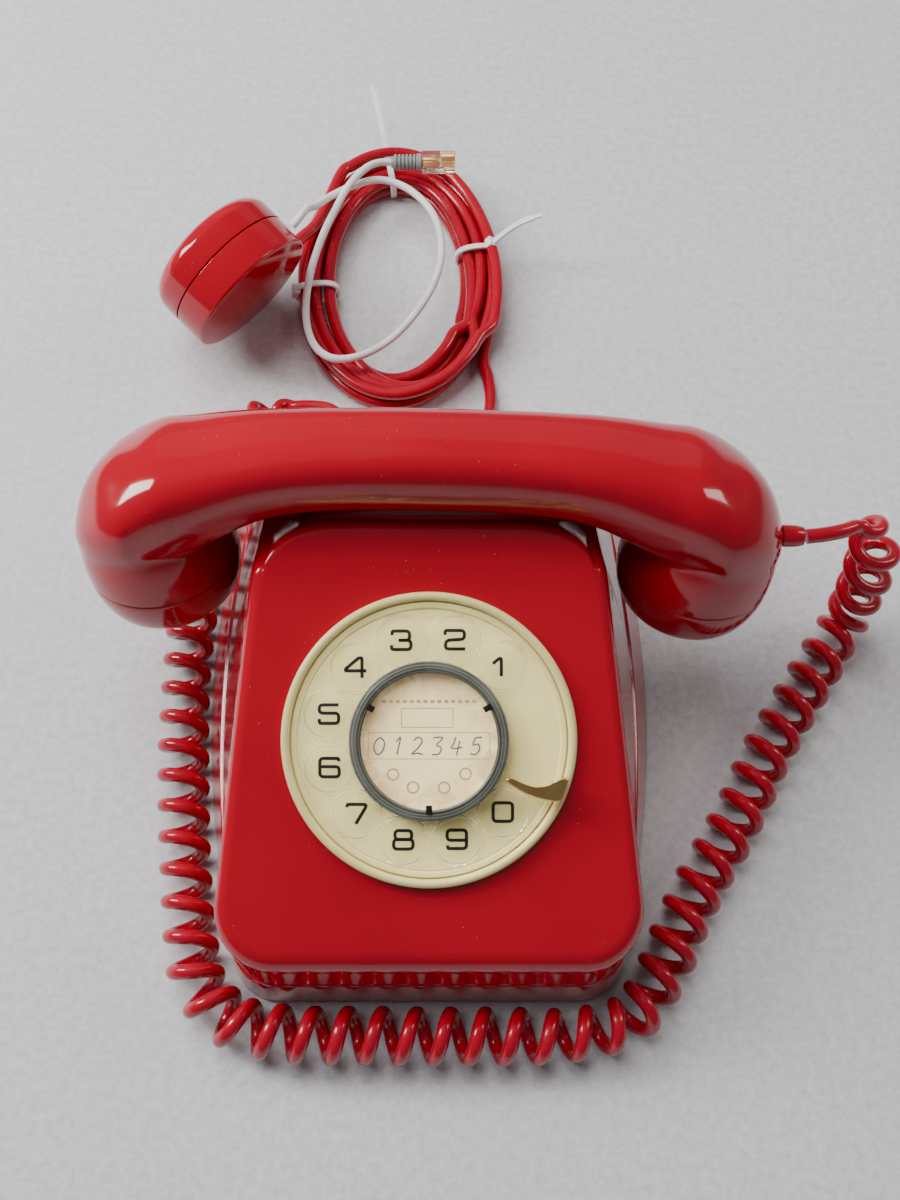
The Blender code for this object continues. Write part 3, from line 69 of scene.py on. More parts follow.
MM = 0.001
DIAL_JOINT = next(joint for joint in frame["joints"] if joint["name"] == "dial_spin")
DIAL_AXIS = -Vector(DIAL_JOINT["axis"])
DIAL_CENTRE = Vector(DIAL_JOINT["pos_m"])
FACE_TILT = math.atan2(-DIAL_AXIS.y, DIAL_AXIS.z)
DIAL_PLACE = Matrix.Translation(DIAL_CENTRE) @ Matrix.Rotation(FACE_TILT, 4, "X")


# ------------------------------------------------------------------ sizes and colours
def length(name, description, default):
    return FloatProperty(name=name, description=description, default=default, unit="LENGTH", precision=4)


def angle(name, description, degrees):
    return FloatProperty(name=name, description=description, default=math.radians(degrees), subtype="ANGLE")


def colour(name, description, default):
    return FloatVectorProperty(
        name=name, description=description, default=default, subtype="COLOR", size=3, min=0.0, max=1.0
    )


class CaseSizes(bpy.types.PropertyGroup):
    """Sizes of the telephone's case."""

    base_half: length("Base half width", "Half the width of the case at its widest", 76 * MM)
    waist_half: length("Waist half width", "Half the width at the waist line", 68 * MM)
    waist_height: length("Waist height", "Height of the waist line", 25 * MM)
    face_half: length("Face half width", "Half the width of the leaning face", 57.4 * MM)
    trough_y: length("Trough", "How far back the trough for the handle lies", 42 * MM)
    trough_floor: length("Trough floor", "Height of the trough's floor", 86.9 * MM)
    wall: length("Wall", "Thickness of the moulding", 2.5 * MM)


class DialSizes(bpy.types.PropertyGroup):
    """Sizes of the dial, square to its face."""

    radius: length("Plate radius", "Outer radius of the number plate", 43.3 * MM)
    wheel_radius: length("Wheel radius", "Outer radius of the finger wheel", 38 * MM)
    hole_radius: length("Finger hole radius", "Radius of each finger hole", 6.75 * MM)
    hole_pitch: length("Hole pitch radius", "Distance of the finger holes from the centre", 30.2 * MM)
    card_radius: length("Card radius", "Radius of the paper card", 19.9 * MM)
    numeral_height: length("Numeral height", "Height of the printed numerals", 6.6 * MM)
    first_hole: angle("First hole", "Angle of the hole for 1", 45.6)
    hole_step: angle("Hole step", "Angle between finger holes", 30)


class HandsetSizes(bpy.types.PropertyGroup):
    """Sizes of the handset, in its own frame at the middle of the handle."""

    y: length("Handle Y", "How far back the handle's middle lies", 38 * MM)
    z: length("Handle Z", "Height of the handle's middle", 105 * MM)
    cup_radius: length("Cup radius", "Radius of each cup at its seam", 24.3 * MM)
    cup_x: length("Cup offset", "Distance of each cup's axis from the handle's middle", 84 * MM)
    cup_seam: length("Cup seam", "Height of the seam from the handle's middle", -41 * MM)
    cap_depth: length("Cap depth", "Depth of the screw-on caps", 18 * MM)
    lean: angle("Lean", "How far it leans", 15)
    yaw: angle("Yaw", "How askew it lies", -1.3)
    toe_in: angle("Toe-in", "How far the cups turn to each other", 6)


class CordSizes(bpy.types.PropertyGroup):
    """Sizes of the cords."""

    curly_wire: length("Curly wire", "Diameter of the curly cord's wire", 4.7 * MM)
    curly_radius: length("Curl radius", "Outer radius of the curls", 9 * MM)
    curly_pitch: length("Curl pitch", "Distance from one curl to the next", 10.6 * MM)
    line_wire: length("Line cord", "Diameter of the line cord", 4.8 * MM)
    white_wire: length("White lead", "Diameter of the white lead", 3 * MM)


class Finishes(bpy.types.PropertyGroup):
    """Colours of the plastics, metals and paper."""

    red: colour("Red", "The case and handset", (0.40, 0.0007, 0.013))
    cord_red: colour("Cord red", "The vinyl of the cords", (0.37, 0.0010, 0.015))
    ivory: colour("Ivory", "The number plate", (0.80, 0.68, 0.28))
    ink: colour("Ink", "The printed numerals", (0.012, 0.011, 0.010))
    paper: colour("Paper", "The number card", (0.97, 0.82, 0.48))
    gilt: colour("Gilt", "The finger stop", (0.88, 0.58, 0.22))
    white: colour("White", "The lead to the plug", (0.78, 0.78, 0.77))


def sizes():
    return bpy.context.scene.telephone


class TelephoneSettings(bpy.types.PropertyGroup):
    """Everything a user would change."""

    case: PointerProperty(name="Case", description="Sizes of the case", type=CaseSizes)
    dial: PointerProperty(name="Dial", description="Sizes of the dial", type=DialSizes)
    handset: PointerProperty(name="Handset", description="Sizes of the handset", type=HandsetSizes)
    cord: PointerProperty(name="Cords", description="Sizes of the cords", type=CordSizes)
    finish: PointerProperty(name="Finishes", description="Colours of the finishes", type=Finishes)


# ------------------------------------------------------------------ modelling helpers
def deselect():
    if bpy.context.object and bpy.context.object.mode != "OBJECT":
        bpy.ops.object.mode_set(mode="OBJECT")
    bpy.ops.object.select_all(action="DESELECT")


def named(name):
    """The object that an operator has just added, under this name."""
    obj = bpy.context.object
    obj.name = name
    obj.data.name = name
    return obj


def activate(obj):
    deselect()
    obj.select_set(True)
    bpy.context.view_layer.objects.active = obj


def place_in_mesh(obj, matrix=None):
    """Moves the object's place, and this one, into its mesh, and leaves the object at the origin."""
    obj.data.transform((matrix or Matrix.Identity(4)) @ obj.matrix_basis)
    obj.matrix_basis = Matrix.Identity(4)
    obj.data.update()


def smooth(obj, angle=40):
    activate(obj)
    bpy.ops.object.shade_smooth_by_angle(angle=math.radians(angle))


def add_modifier(obj, kind, **settings):
    activate(obj)
    bpy.ops.object.modifier_add(type=kind)
    modifier = obj.modifiers[-1]
    for key, value in settings.items():
        setattr(modifier, key, value)
    bpy.ops.object.modifier_apply(modifier=modifier.name)


def cut(obj, *cutters):
    for cutter in cutters:
        add_modifier(obj, "BOOLEAN", operation="DIFFERENCE", solver="EXACT", object=cutter)
        bpy.data.objects.remove(cutter, do_unlink=True)


def join(objects):
    """One object of several, under the first one's name."""
    activate(objects[0])
    for obj in objects:
        obj.select_set(True)
    bpy.ops.object.join()
    return bpy.context.object


def face_out(obj):
    activate(obj)
    bpy.ops.object.mode_set(mode="EDIT")
    bpy.ops.mesh.select_all(action="SELECT")
    bpy.ops.mesh.remove_doubles(threshold=1e-6)
    bpy.ops.mesh.normals_make_consistent(inside=False)
    bpy.ops.object.mode_set(mode="OBJECT")


def mm(*rows):
    """These points or profile rows, given in millimetres, in metres."""
    return [tuple(value * MM for value in row) for row in rows]


def linked(name, data):
    """A new object with this mesh or curve, in the scene."""
    obj = bpy.data.objects.new(name, data)
    bpy.context.scene.collection.objects.link(obj)
    return obj


def surface(name, verts, faces):
    """A mesh made straight from its points and faces, with its normals turned outwards."""
    mesh = bpy.data.meshes.new(name)
    mesh.from_pydata([tuple(v) for v in verts], [], faces)
    obj = linked(name, mesh)
    face_out(obj)
    return obj


def bands(rings, count, closed=False):
    """The quads between rings of so many points, and from the last ring to the first if it is closed."""
    faces = []
    for i in range(rings if closed else rings - 1):
        here, there = i * count, (i + 1) % rings * count
        for k in range(count):
            j = (k + 1) % count
            faces.append((here + k, here + j, there + j, there + k))
    return faces


def lofted(name, rings):
    """A skin over rings of equal count, closed by a face at each end."""
    count = len(rings[0])
    last = (len(rings) - 1) * count
    ends = [tuple(reversed(range(count))), tuple(last + k for k in range(count))]
    return surface(name, [p for ring in rings for p in ring], ends + bands(len(rings), count))


def turned(name, profile, steps=96, place=None):
    """A solid spun about Z from its (radius, height) profile, whose ends may be on the axis."""
    deselect()
    bpy.ops.mesh.primitive_plane_add(size=0.001)
    obj = named(name)
    bpy.ops.object.mode_set(mode="EDIT")
    bpy.ops.mesh.delete(type="VERT")
    bm = bmesh.from_edit_mesh(obj.data)
    verts = [bm.verts.new((radius, 0, height)) for radius, height in profile]
    for a, b in zip(verts, verts[1:]):
        bm.edges.new((a, b))
    if profile[0][0] > 1e-7 or profile[-1][0] > 1e-7:
        bm.edges.new((verts[-1], verts[0]))
    bmesh.update_edit_mesh(obj.data)
    bpy.ops.mesh.select_all(action="SELECT")
    bpy.ops.mesh.spin(steps=steps, angle=math.tau, center=(0, 0, 0), axis=(0, 0, 1))
    bpy.ops.object.mode_set(mode="OBJECT")
    face_out(obj)
    place_in_mesh(obj, place)
    return obj


def rounded_profile(corners, steps=5):
    """The profile with a round of the given radius at each (radius, height, round) corner."""
    points = []
    count = len(corners)
    for i, (x, z, fillet) in enumerate(corners):
        here = Vector((x, z))
        if not fillet:
            points.append((x, z))
            continue
        before = (Vector(corners[i - 1][:2]) - here).normalized()
        after = (Vector(corners[(i + 1) % count][:2]) - here).normalized()
        half = before.angle(after) / 2
        reach = fillet / math.tan(half)
        start, end = here + before * reach, here + after * reach
        middle = here + (before + after).normalized() * (fillet / math.sin(half))
        first, last = start - middle, end - middle
        sweep = first.angle_signed(last)
        for k in range(steps + 1):
            spoke = first.copy()
            spoke.rotate(Matrix.Rotation(-sweep * k / steps, 2))
            points.append(tuple(middle + spoke))
    return points


def block(name, low, high, bevel=0.0, segments=3, place=None):
    """A cube stretched between two corners, its edges bevelled."""
    low, high = Vector(low), Vector(high)
    deselect()
    bpy.ops.mesh.primitive_cube_add(size=1, location=(low + high) / 2)
    obj = named(name)
    obj.scale = high - low
    bpy.ops.object.transform_apply(location=True, rotation=True, scale=True)
    if bevel:
        bpy.ops.object.mode_set(mode="EDIT")
        bpy.ops.mesh.select_all(action="SELECT")
        bpy.ops.mesh.bevel(offset=bevel, segments=segments, profile=0.5, affect="EDGES")
        bpy.ops.object.mode_set(mode="OBJECT")
    place_in_mesh(obj, place)
    return obj


def along(axis, at):
    return Matrix.Translation(at) @ Vector(axis).to_track_quat("Z", "Y").to_matrix().to_4x4()


def spline_point(points, t):
    """The point so far along the smooth curve through these, counted in points."""
    i = min(int(t), len(points) - 2)
    u = t - i
    p1, p2 = points[i], points[i + 1]
    p0 = points[i - 1] if i else p1 + (p1 - p2)
    p3 = points[i + 2] if i + 2 < len(points) else p2 + (p2 - p1)
    square = (2 * p0 - 5 * p1 + 4 * p2 - p3) * u * u
    cube = (3 * p1 - p0 - 3 * p2 + p3) * u**3
    return 0.5 * (2 * p1 + (p2 - p0) * u + square + cube)


def evenly(points, spacing):
    """Evenly spaced points on the smooth curve through these."""
    points = [Vector(p) for p in points]
    fine = [spline_point(points, k / 24) for k in range(24 * (len(points) - 1) + 1)]
    line = np.array([tuple(p) for p in fine])
    run = np.concatenate(([0.0], np.cumsum(np.linalg.norm(np.diff(line, axis=0), axis=1))))
    count = max(2, round(run[-1] / spacing))
    at = np.linspace(0, run[-1], count + 1)
    return [Vector([float(np.interp(s, run, line[:, k])) for k in range(3)]) for s in at]


def run_length(points):
    return sum((b - a).length for a, b in zip(points, points[1:]))


def transported(points):
    """A frame (tangent, side, up) at each point, carried along without twist."""
    frames = []
    side = None
    for i, point in enumerate(points):
        tangent = (points[min(i + 1, len(points) - 1)] - points[max(i - 1, 0)]).normalized()
        if side is None:
            side = tangent.cross(Vector((0, 0, 1))).normalized()
        side = (side - tangent * side.dot(tangent)).normalized()
        frames.append((tangent, side, tangent.cross(side)))
    return frames


def tube_mesh(name, points, radius, sides=12):
    """A round tube along the points, closed at its ends."""
    rings = []
    for point, (_, side, up) in zip(points, transported(points)):
        spokes = (math.tau * k / sides for k in range(sides))
        rings.append([point + radius * (math.cos(a) * side + math.sin(a) * up) for a in spokes])
    obj = lofted(name, rings)
    smooth(obj, 50)
    return obj


def curve_tube(name, points, radius, sides=4):
    """A cord as a curve of one open spline."""
    curve = bpy.data.curves.new(name, "CURVE")
    curve.dimensions = "3D"
    curve.bevel_depth = radius
    curve.bevel_resolution = sides
    curve.use_fill_caps = True
    spline = curve.splines.new("POLY")
    spline.points.add(len(points) - 1)
    spline.use_smooth = True
    for target, point in zip(spline.points, points):
        target.co = (*point, 1.0)
    return linked(name, curve)


# ------------------------------------------------------------------ materials
class Paint:
    """A material under construction: a Principled shader and the nodes that feed it."""

    def __init__(self, name, base, roughness, **sockets):
        self.material = bpy.data.materials.new(name)
        self.material.use_nodes = True
        self.tree = self.material.node_tree
        self.shader = self.tree.nodes["Principled BSDF"]
        self.base = (*base, 1.0)
        self.shader.inputs["Base Color"].default_value = self.base
        self.shader.inputs["Roughness"].default_value = roughness
        for socket, value in sockets.items():
            self.shader.inputs[socket.replace("_", " ")].default_value = value
        self.coords = self.tree.nodes.new("ShaderNodeTexCoord").outputs["Object"]

    def node(self, kind, inputs=(), **settings):
        made = self.tree.nodes.new("ShaderNode" + kind)
        for key, value in settings.items():
            setattr(made, key, value)
        for socket, value in dict(inputs).items():
            if isinstance(value, bpy.types.NodeSocket):
                self.tree.links.new(value, made.inputs[socket])
            else:
                made.inputs[socket].default_value = value
        return made

    def mapped(self, location=(0, 0, 0), rotation=(0, 0, 0), scale=(1, 1, 1)):
        """Object coordinates seen from a place of their own."""
        inputs = {"Vector": self.coords, "Location": location, "Rotation": rotation, "Scale": scale}
        return self.node("Mapping", inputs, vector_type="TEXTURE").outputs["Vector"]

    def noise(self, scale, detail=3.0, roughness=0.5, vector=None, distortion=0.0):
        inputs = {
            "Vector": vector or self.coords,
            "Scale": scale,
            "Detail": detail,
            "Roughness": roughness,
            "Distortion": distortion,
        }
        return self.node("TexNoise", inputs).outputs["Fac"]

    def specks(self, scale, size, vector=None):
        """1 in small scattered dots, 0 elsewhere."""
        inputs = {"Vector": vector or self.coords, "Scale": scale}
        cells = self.node("TexVoronoi", inputs, feature="F1")
        return self.remap(cells.outputs["Distance"], size, size * 0.5, 0.0, 1.0)

    def remap(self, value, low, high, to_low, to_high):
        inputs = {"Value": value, "From Min": low, "From Max": high, "To Min": to_low, "To Max": to_high}
        return self.node("MapRange", inputs, clamp=True).outputs["Result"]

    def combine(self, operation, a, b):
        return self.node("Math", {0: a, 1: b}, operation=operation).outputs[0]

    def mix(self, factor, a, b):
        made = self.node("Mix", data_type="RGBA")
        for socket, value in ((made.inputs["Factor"], factor), (made.inputs[6], a), (made.inputs[7], b)):
            if isinstance(value, bpy.types.NodeSocket):
                self.tree.links.new(value, socket)
            else:
                socket.default_value = value if isinstance(value, float) else (*value[:3], 1.0)
        return made.outputs[2]

    def link(self, output, socket):
        self.tree.links.new(output, self.shader.inputs[socket])

    def bump(self, height, distance, strength=1.0):
        inputs = {"Height": height, "Distance": distance, "Strength": strength}
        self.link(self.node("Bump", inputs).outputs["Normal"], "Normal")


def shade(rgb, factor):
    return tuple(min(1.0, c * factor) for c in rgb)


def glossy_plastic(name, base, gloss=0.1, wear=1.0, coat=0.2):
    """Old polished moulding: a faint ripple, fine dust and hairline scratches that break its gloss."""
    paint = Paint(name, base, gloss, Specular_IOR_Level=0.5, IOR=1.52, Coat_Weight=coat, Coat_Roughness=0.04)
    mottle = paint.noise(14.0, 4.0)
    tone = paint.mix(paint.remap(mottle, 0.35, 0.7, 0.0, 1.0), shade(base, 0.93), shade(base, 1.06))
    dust = paint.specks(420.0, 0.09)
    clouds = paint.remap(paint.noise(38.0, 5.0, 0.65), 0.52, 0.75, 0.0, 0.55 * wear)
    dusty = paint.combine("MULTIPLY", dust, clouds)
    paint.link(paint.mix(dusty, tone, (0.75, 0.62, 0.58)), "Base Color")
    stretched = paint.mapped(rotation=(0.3, 0.2, 0.7), scale=(0.05, 1.0, 1.0))
    scratch = paint.remap(paint.noise(900.0, 2.0, 0.6, stretched), 0.66, 0.74, 0.0, 0.22 * wear)
    film = paint.remap(paint.noise(22.0, 6.0, 0.6), 0.4, 0.75, gloss * 0.75, gloss * 1.9)
    paint.link(paint.combine("ADD", film, paint.combine("MULTIPLY", scratch, clouds)), "Roughness")
    ripple = paint.noise(46.0, 1.0, 0.4)
    paint.bump(ripple, 0.00022, 0.35)
    return paint.material


def cord_vinyl(name, base):
    """Soft glossy vinyl with a slight waviness."""
    paint = Paint(name, base, 0.2, IOR=1.5, Coat_Weight=0.3, Coat_Roughness=0.12, Subsurface_Weight=0.03)
    mottle = paint.remap(paint.noise(60.0, 4.0), 0.3, 0.7, 0.0, 1.0)
    paint.link(paint.mix(mottle, shade(base, 0.9), shade(base, 1.1)), "Base Color")
    paint.link(paint.remap(paint.noise(130.0, 5.0), 0.35, 0.75, 0.15, 0.34), "Roughness")
    paint.bump(paint.noise(260.0, 2.0), 0.0003, 0.18)
    return paint.material


def dial_ivory(name, base):
    """Yellowed urea plastic: its tone wanders in soft clouds, with fine specks of grime all over."""
    paint = Paint(name, base, 0.3, IOR=1.5, Coat_Weight=0.15, Coat_Roughness=0.15, Subsurface_Weight=0.05)
    cloud = paint.remap(paint.noise(30.0, 5.0, 0.6), 0.3, 0.72, 0.0, 1.0)
    tone = paint.mix(cloud, shade(base, 0.94), (base[0] * 1.05, base[1] * 1.04, base[2] * 1.15))
    grime = paint.combine("MULTIPLY", paint.specks(520.0, 0.1), 0.3)
    paint.link(paint.mix(grime, tone, (0.28, 0.23, 0.12)), "Base Color")
    paint.link(paint.remap(paint.noise(70.0, 4.0), 0.3, 0.7, 0.22, 0.4), "Roughness")
    paint.bump(paint.noise(180.0, 3.0), 0.0003, 0.08)
    return paint.material


def clear_plastic(name, tint=(0.985, 0.97, 0.87), gloss=0.03):
    """Clear moulding with light handling scratches."""
    paint = Paint(name, tint, gloss, IOR=1.46, Transmission_Weight=0.96, Specular_IOR_Level=0.5)
    scratches = paint.remap(paint.noise(400.0, 4.0, 0.6), 0.55, 0.8, gloss, gloss + 0.12)
    paint.link(scratches, "Roughness")
    haze = paint.remap(paint.noise(40.0, 4.0), 0.4, 0.8, 0.0, 1.0)
    paint.link(paint.mix(haze, tint, shade(tint, 0.96)), "Base Color")
    paint.bump(paint.noise(90.0, 1.0), 0.0002, 0.12)
    return paint.material


def ringed(paint, place, spacing):
    """Height of fine grooves round an axis at this place."""
    angles = place.to_euler()
    vector = paint.mapped(tuple(place.translation), tuple(angles))
    inputs = {"Vector": vector, "Scale": 1 / spacing}
    wave = paint.node("TexWave", inputs, wave_type="RINGS", rings_direction="Z", wave_profile="SIN")
    return wave.outputs["Fac"]


def centre_grey(name):
    """Grey plastic turned with fine grooves round the card, with painted shade and highlight along them."""
    base = (0.13, 0.135, 0.115)
    paint = Paint(name, base, 0.28, IOR=1.5, Metallic=0.25, Coat_Weight=0.2, Coat_Roughness=0.1)
    grooves = ringed(paint, DIAL_PLACE, 0.0030)
    cloud = paint.noise(60.0, 4.0)
    # Painted shade and highlight: each groove's bottom is painted darker and its crest lighter, following the
    # same wave as the bump.
    tone = paint.mix(grooves, shade(base, 0.65), shade(base, 1.6))
    paint.link(paint.mix(paint.remap(cloud, 0.4, 0.8, 0.0, 0.4), tone, (0.34, 0.36, 0.3)), "Base Color")
    paint.link(paint.remap(cloud, 0.3, 0.7, 0.2, 0.38), "Roughness")
    paint.bump(grooves, 0.00015, 0.6)
    return paint.material


def stained_paper(name, base):
    """Yellowed card with brown water stains that gather at its edge."""
    paint = Paint(name, base, 0.85, Specular_IOR_Level=0.2, Sheen_Weight=0.1)
    fibres = paint.noise(900.0, 5.0, 0.7)
    tone = paint.mix(paint.remap(fibres, 0.3, 0.7, 0.0, 1.0), shade(base, 0.94), shade(base, 1.05))
    local = paint.mapped(tuple(DIAL_CENTRE), (FACE_TILT, 0, 0))
    reach = paint.node("VectorMath", {0: local}, operation="LENGTH").outputs["Value"]
    edge = paint.remap(reach, 0.011, 0.0215, 0.0, 1.0)
    blots = paint.remap(paint.noise(170.0, 6.0, 0.62, distortion=0.6), 0.38, 0.58, 0.0, 1.0)
    stain = paint.combine("MULTIPLY", edge, blots)
    tone = paint.mix(paint.combine("MULTIPLY", stain, 0.75), tone, (0.48, 0.23, 0.07))
    patches = paint.remap(paint.noise(85.0, 3.0, 0.6), 0.55, 0.75, 0.0, 0.4)
    paint.link(paint.mix(patches, tone, (0.90, 0.66, 0.42)), "Base Color")
    paint.bump(fibres, 0.0001, 0.3)
    return paint.material


def gilt_metal(name, base):
    paint = Paint(name, base, 0.34, Metallic=1.0)
    worn = paint.remap(paint.noise(160.0, 5.0, 0.6), 0.45, 0.75, 0.0, 1.0)
    paint.link(paint.mix(worn, base, (0.66, 0.40, 0.12)), "Base Color")
    paint.link(paint.remap(paint.noise(320.0, 4.0), 0.3, 0.7, 0.24, 0.42), "Roughness")
    return paint.material


def printed_ink(name, base):
    paint = Paint(name, base, 0.4, Specular_IOR_Level=0.4)
    worn = paint.remap(paint.noise(700.0, 4.0, 0.6), 0.35, 0.75, 0.0, 0.5)
    paint.link(paint.mix(worn, base, shade(base, 3.2)), "Base Color")
    paint.link(paint.remap(worn, 0.0, 0.5, 0.32, 0.55), "Roughness")
    return paint.material


def brushed_metal(name, base, roughness=0.36, grain=240.0):
    paint = Paint(name, base, roughness, Metallic=1.0)
    strokes = paint.noise(grain, 4.0, 0.6, paint.mapped(scale=(0.08, 1.0, 1.0)))
    paint.link(paint.mix(strokes, shade(base, 0.8), shade(base, 1.15)), "Base Color")
    paint.link(paint.remap(strokes, 0.3, 0.7, roughness * 0.8, roughness * 1.25), "Roughness")
    paint.bump(strokes, 0.0001, 0.2)
    return paint.material


def moulded(name, base, roughness, grain=220.0, relief=0.0002, strength=0.25, **sockets):
    """A plain moulding with a matt grain."""
    paint = Paint(name, base, roughness, **sockets)
    grains = paint.noise(grain, 5.0, 0.6)
    share = paint.remap(grains, 0.3, 0.7, 0.0, 1.0)
    paint.link(paint.mix(share, shade(base, 0.88), shade(base, 1.12)), "Base Color")
    paint.link(paint.remap(grains, 0.3, 0.7, roughness * 0.85, min(1.0, roughness * 1.2)), "Roughness")
    paint.bump(grains, relief, strength)
    return paint.material


def copper_winding(name):
    base = (0.46, 0.17, 0.06)
    paint = Paint(name, base, 0.4, Metallic=0.7)
    wave = paint.node("TexWave", {"Vector": paint.coords, "Scale": 900.0}, bands_direction="X")
    turns = wave.outputs["Fac"]
    # Painted shade between the wire's turns and painted highlight on them, following the same wave as the
    # bump.
    paint.link(paint.mix(turns, shade(base, 0.5), shade(base, 1.3)), "Base Color")
    paint.bump(turns, 0.0003, 0.6)
    return paint.material


def circuit_board(name):
    base = (0.24, 0.15, 0.05)
    paint = Paint(name, base, 0.5, IOR=1.5)
    weave = paint.noise(1200.0, 2.0)
    tracks = paint.remap(paint.noise(70.0, 1.0, vector=paint.mapped(scale=(0.3, 1, 1))), 0.52, 0.54, 0.0, 0.8)
    laminate = paint.mix(weave, shade(base, 0.85), shade(base, 1.2))
    paint.link(paint.mix(tracks, laminate, (0.5, 0.34, 0.13)), "Base Color")
    paint.bump(tracks, 0.0001, 0.5)
    return paint.material


def nylon(name):
    """Milky nylon, partly see-through where it is thin."""
    base = (0.92, 0.93, 0.92)
    paint = Paint(name, base, 0.32, IOR=1.5, Transmission_Weight=0.1, Subsurface_Weight=0.1)
    cloud = paint.noise(200.0, 3.0)
    paint.link(paint.mix(cloud, shade(base, 0.93), shade(base, 1.05)), "Base Color")
    paint.link(paint.remap(cloud, 0.3, 0.7, 0.26, 0.42), "Roughness")
    paint.bump(cloud, 0.0002, 0.15)
    return paint.material


def finish_of(name):
    """The shared material of that name, made when it is first asked for."""
    found = bpy.data.materials.get("telephone_" + name)
    if found:
        return found
    colours = sizes().finish
    makers = {
        "red": lambda n: glossy_plastic(n, tuple(colours.red)),
        "cord": lambda n: cord_vinyl(n, tuple(colours.cord_red)),
        "ivory": lambda n: dial_ivory(n, tuple(colours.ivory)),
        "clear": clear_plastic,
        "grey_ring": centre_grey,
        "paper": lambda n: stained_paper(n, tuple(colours.paper)),
        "gilt": lambda n: gilt_metal(n, tuple(colours.gilt)),
        "ink": lambda n: printed_ink(n, tuple(colours.ink)),
        "faint_ink": lambda n: printed_ink(n, (0.30, 0.19, 0.07)),
        "pen_ink": lambda n: printed_ink(n, (0.025, 0.035, 0.05)),
        "steel": lambda n: brushed_metal(n, (0.42, 0.42, 0.41)),
        "dark_steel": lambda n: brushed_metal(n, (0.10, 0.085, 0.07), 0.45),
        "brass": lambda n: brushed_metal(n, (0.60, 0.43, 0.16), 0.3),
        "black": lambda n: moulded(n, (0.022, 0.022, 0.024), 0.45),
        "rubber": lambda n: moulded(n, (0.018, 0.018, 0.018), 0.8, relief=0.0004, strength=0.5),
        "white": lambda n: moulded(n, tuple(colours.white), 0.35, 90.0, 0.0002, 0.12, Coat_Weight=0.15),
        "grey_rubber": lambda n: moulded(n, (0.26, 0.28, 0.28), 0.55, 300.0),
        "copper": copper_winding,
        "board": circuit_board,
        "nylon": nylon,
        "bakelite": lambda n: moulded(n, (0.30, 0.27, 0.18), 0.4, 120.0),
    }
    return makers[name]("telephone_" + name)


def dress(obj, finish):
    obj.data.materials.clear()
    obj.data.materials.append(finish_of(finish))


def fit(obj, body, finish, *replaced):
    """Dresses a finished piece, rides it on its body and lets it stand for CAD nodes."""
    dress(obj, finish)
    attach(obj, body)
    if replaced:
        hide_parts(*replaced)
    return obj


# ------------------------------------------------------------------ case
BODY_FRONT, BODY_REAR = -100 * MM, 100 * MM
FACE_FRONT, FACE_REAR = -91.6 * MM, 90 * MM
CORNER_FACE, CORNER_BASE, CORNER_REAR = 13 * MM, 16 * MM, 20 * MM
RIM_HEIGHT = 2 * MM
CREST_ROUND = 19 * MM  # how the face's upper corners round off into the trough
EDGE_ROUND = 4.2 * MM  # how far the face's rounded edge stands out of its flat part
# Steps in millimetres: in from the face's edge, and out and up from the waist line.
FACE_STEPS = (-19, -15.5, -12.3, -9.5, -7.2, -5.2, -3.6, -2.4, -1.4, -0.7, -0.25)
WAIST_STEPS = ((-0.1, 1.6), (-0.15, 1.1), (-0.7, 0.75), (-0.75, 0.5), (0.35, 0.35), (0.8, 0.0), (0.9, -0.5))
LINE_EXIT = Vector((20, 100, 12)) * MM
CURLY_EXIT = Vector((-30, 100, 14)) * MM
PLUNGER_PLACES = ((-38 * MM, 41 * MM), (38 * MM, 41 * MM))


def top_height(y, advance=0.0):
    """The height of the case's top: leaning face, trough for the handle, rear slope, blended together.

    advance is how far forward of its middle the trough's front has come, as it does at the sides.
    """
    case = sizes().case
    behind = y - case.trough_y
    if behind < 0:
        trough = case.trough_floor + min(0.0, behind + advance) ** 2 / (2 * 25 * MM)
    else:
        trough = case.trough_floor + behind**2 / (2 * 12 * MM)
    face = DIAL_CENTRE.z + (y - DIAL_CENTRE.y) * math.tan(FACE_TILT)
    rear = 92 * MM - 1.255 * (y - 54 * MM)
    blend = 1.1 * MM
    return -blend * math.log(sum(math.exp(-v / blend) for v in (face, trough, rear)))


def base_half(y):
    return sizes().case.base_half - 1.46 * (y - 0.010) ** 2


def waist_half(y):
    return sizes().case.waist_half - 1.2 * (y + 0.003) ** 2


def face_half(y):
    return sizes().case.face_half - 0.121 * (y + 62 * MM) + 0.251 * max(0.0, y - 42 * MM)


def level_outline(front, rear, half, front_corner, rear_corner, height):
    """The right half of one level of the case, from the middle of its front round to its rear."""
    steps = 12
    start, end = front + front_corner, rear - rear_corner
    points = []
    centre = half(start) - front_corner
    for i in range(steps + 1):
        a = math.pi / 2 * i / steps
        points.append((centre + front_corner * math.sin(a), start - front_corner * math.cos(a)))
    stations = [y * MM for y in (*range(-74, 2, 4), *range(2, 66, 1), 66.5)]
    points += [(half(y), y) for y in stations]
    centre = half(end) - rear_corner
    for i in range(steps + 1):
        a = math.pi / 2 * i / steps
        points.append((centre + rear_corner * math.cos(a), end + rear_corner * math.sin(a)))
    return [Vector((x, y, height(y))) for x, y in points]


def face_level(grow, drop):
    """A level round the face's edge: so far out of the flat part, and so far below it."""
    inset = grow if grow > 0 else 6 * MM * (math.exp(grow / (6 * MM)) - 1)
    corner = CORNER_FACE + inset
    front, rear = FACE_FRONT - inset * 1.15, FACE_REAR + inset
    share = min(1.0, max(0.0, 1 + grow / CREST_ROUND))
    advance = CREST_ROUND * (1 - math.sqrt(1 - share**2))
    return level_outline(
        front, rear, lambda y: face_half(y) + grow, corner, corner, lambda y: top_height(y, advance) - drop
    )


def flat_level(half, front, rear, corner, height):
    return level_outline(front, rear, half, corner, CORNER_REAR, lambda y: height)


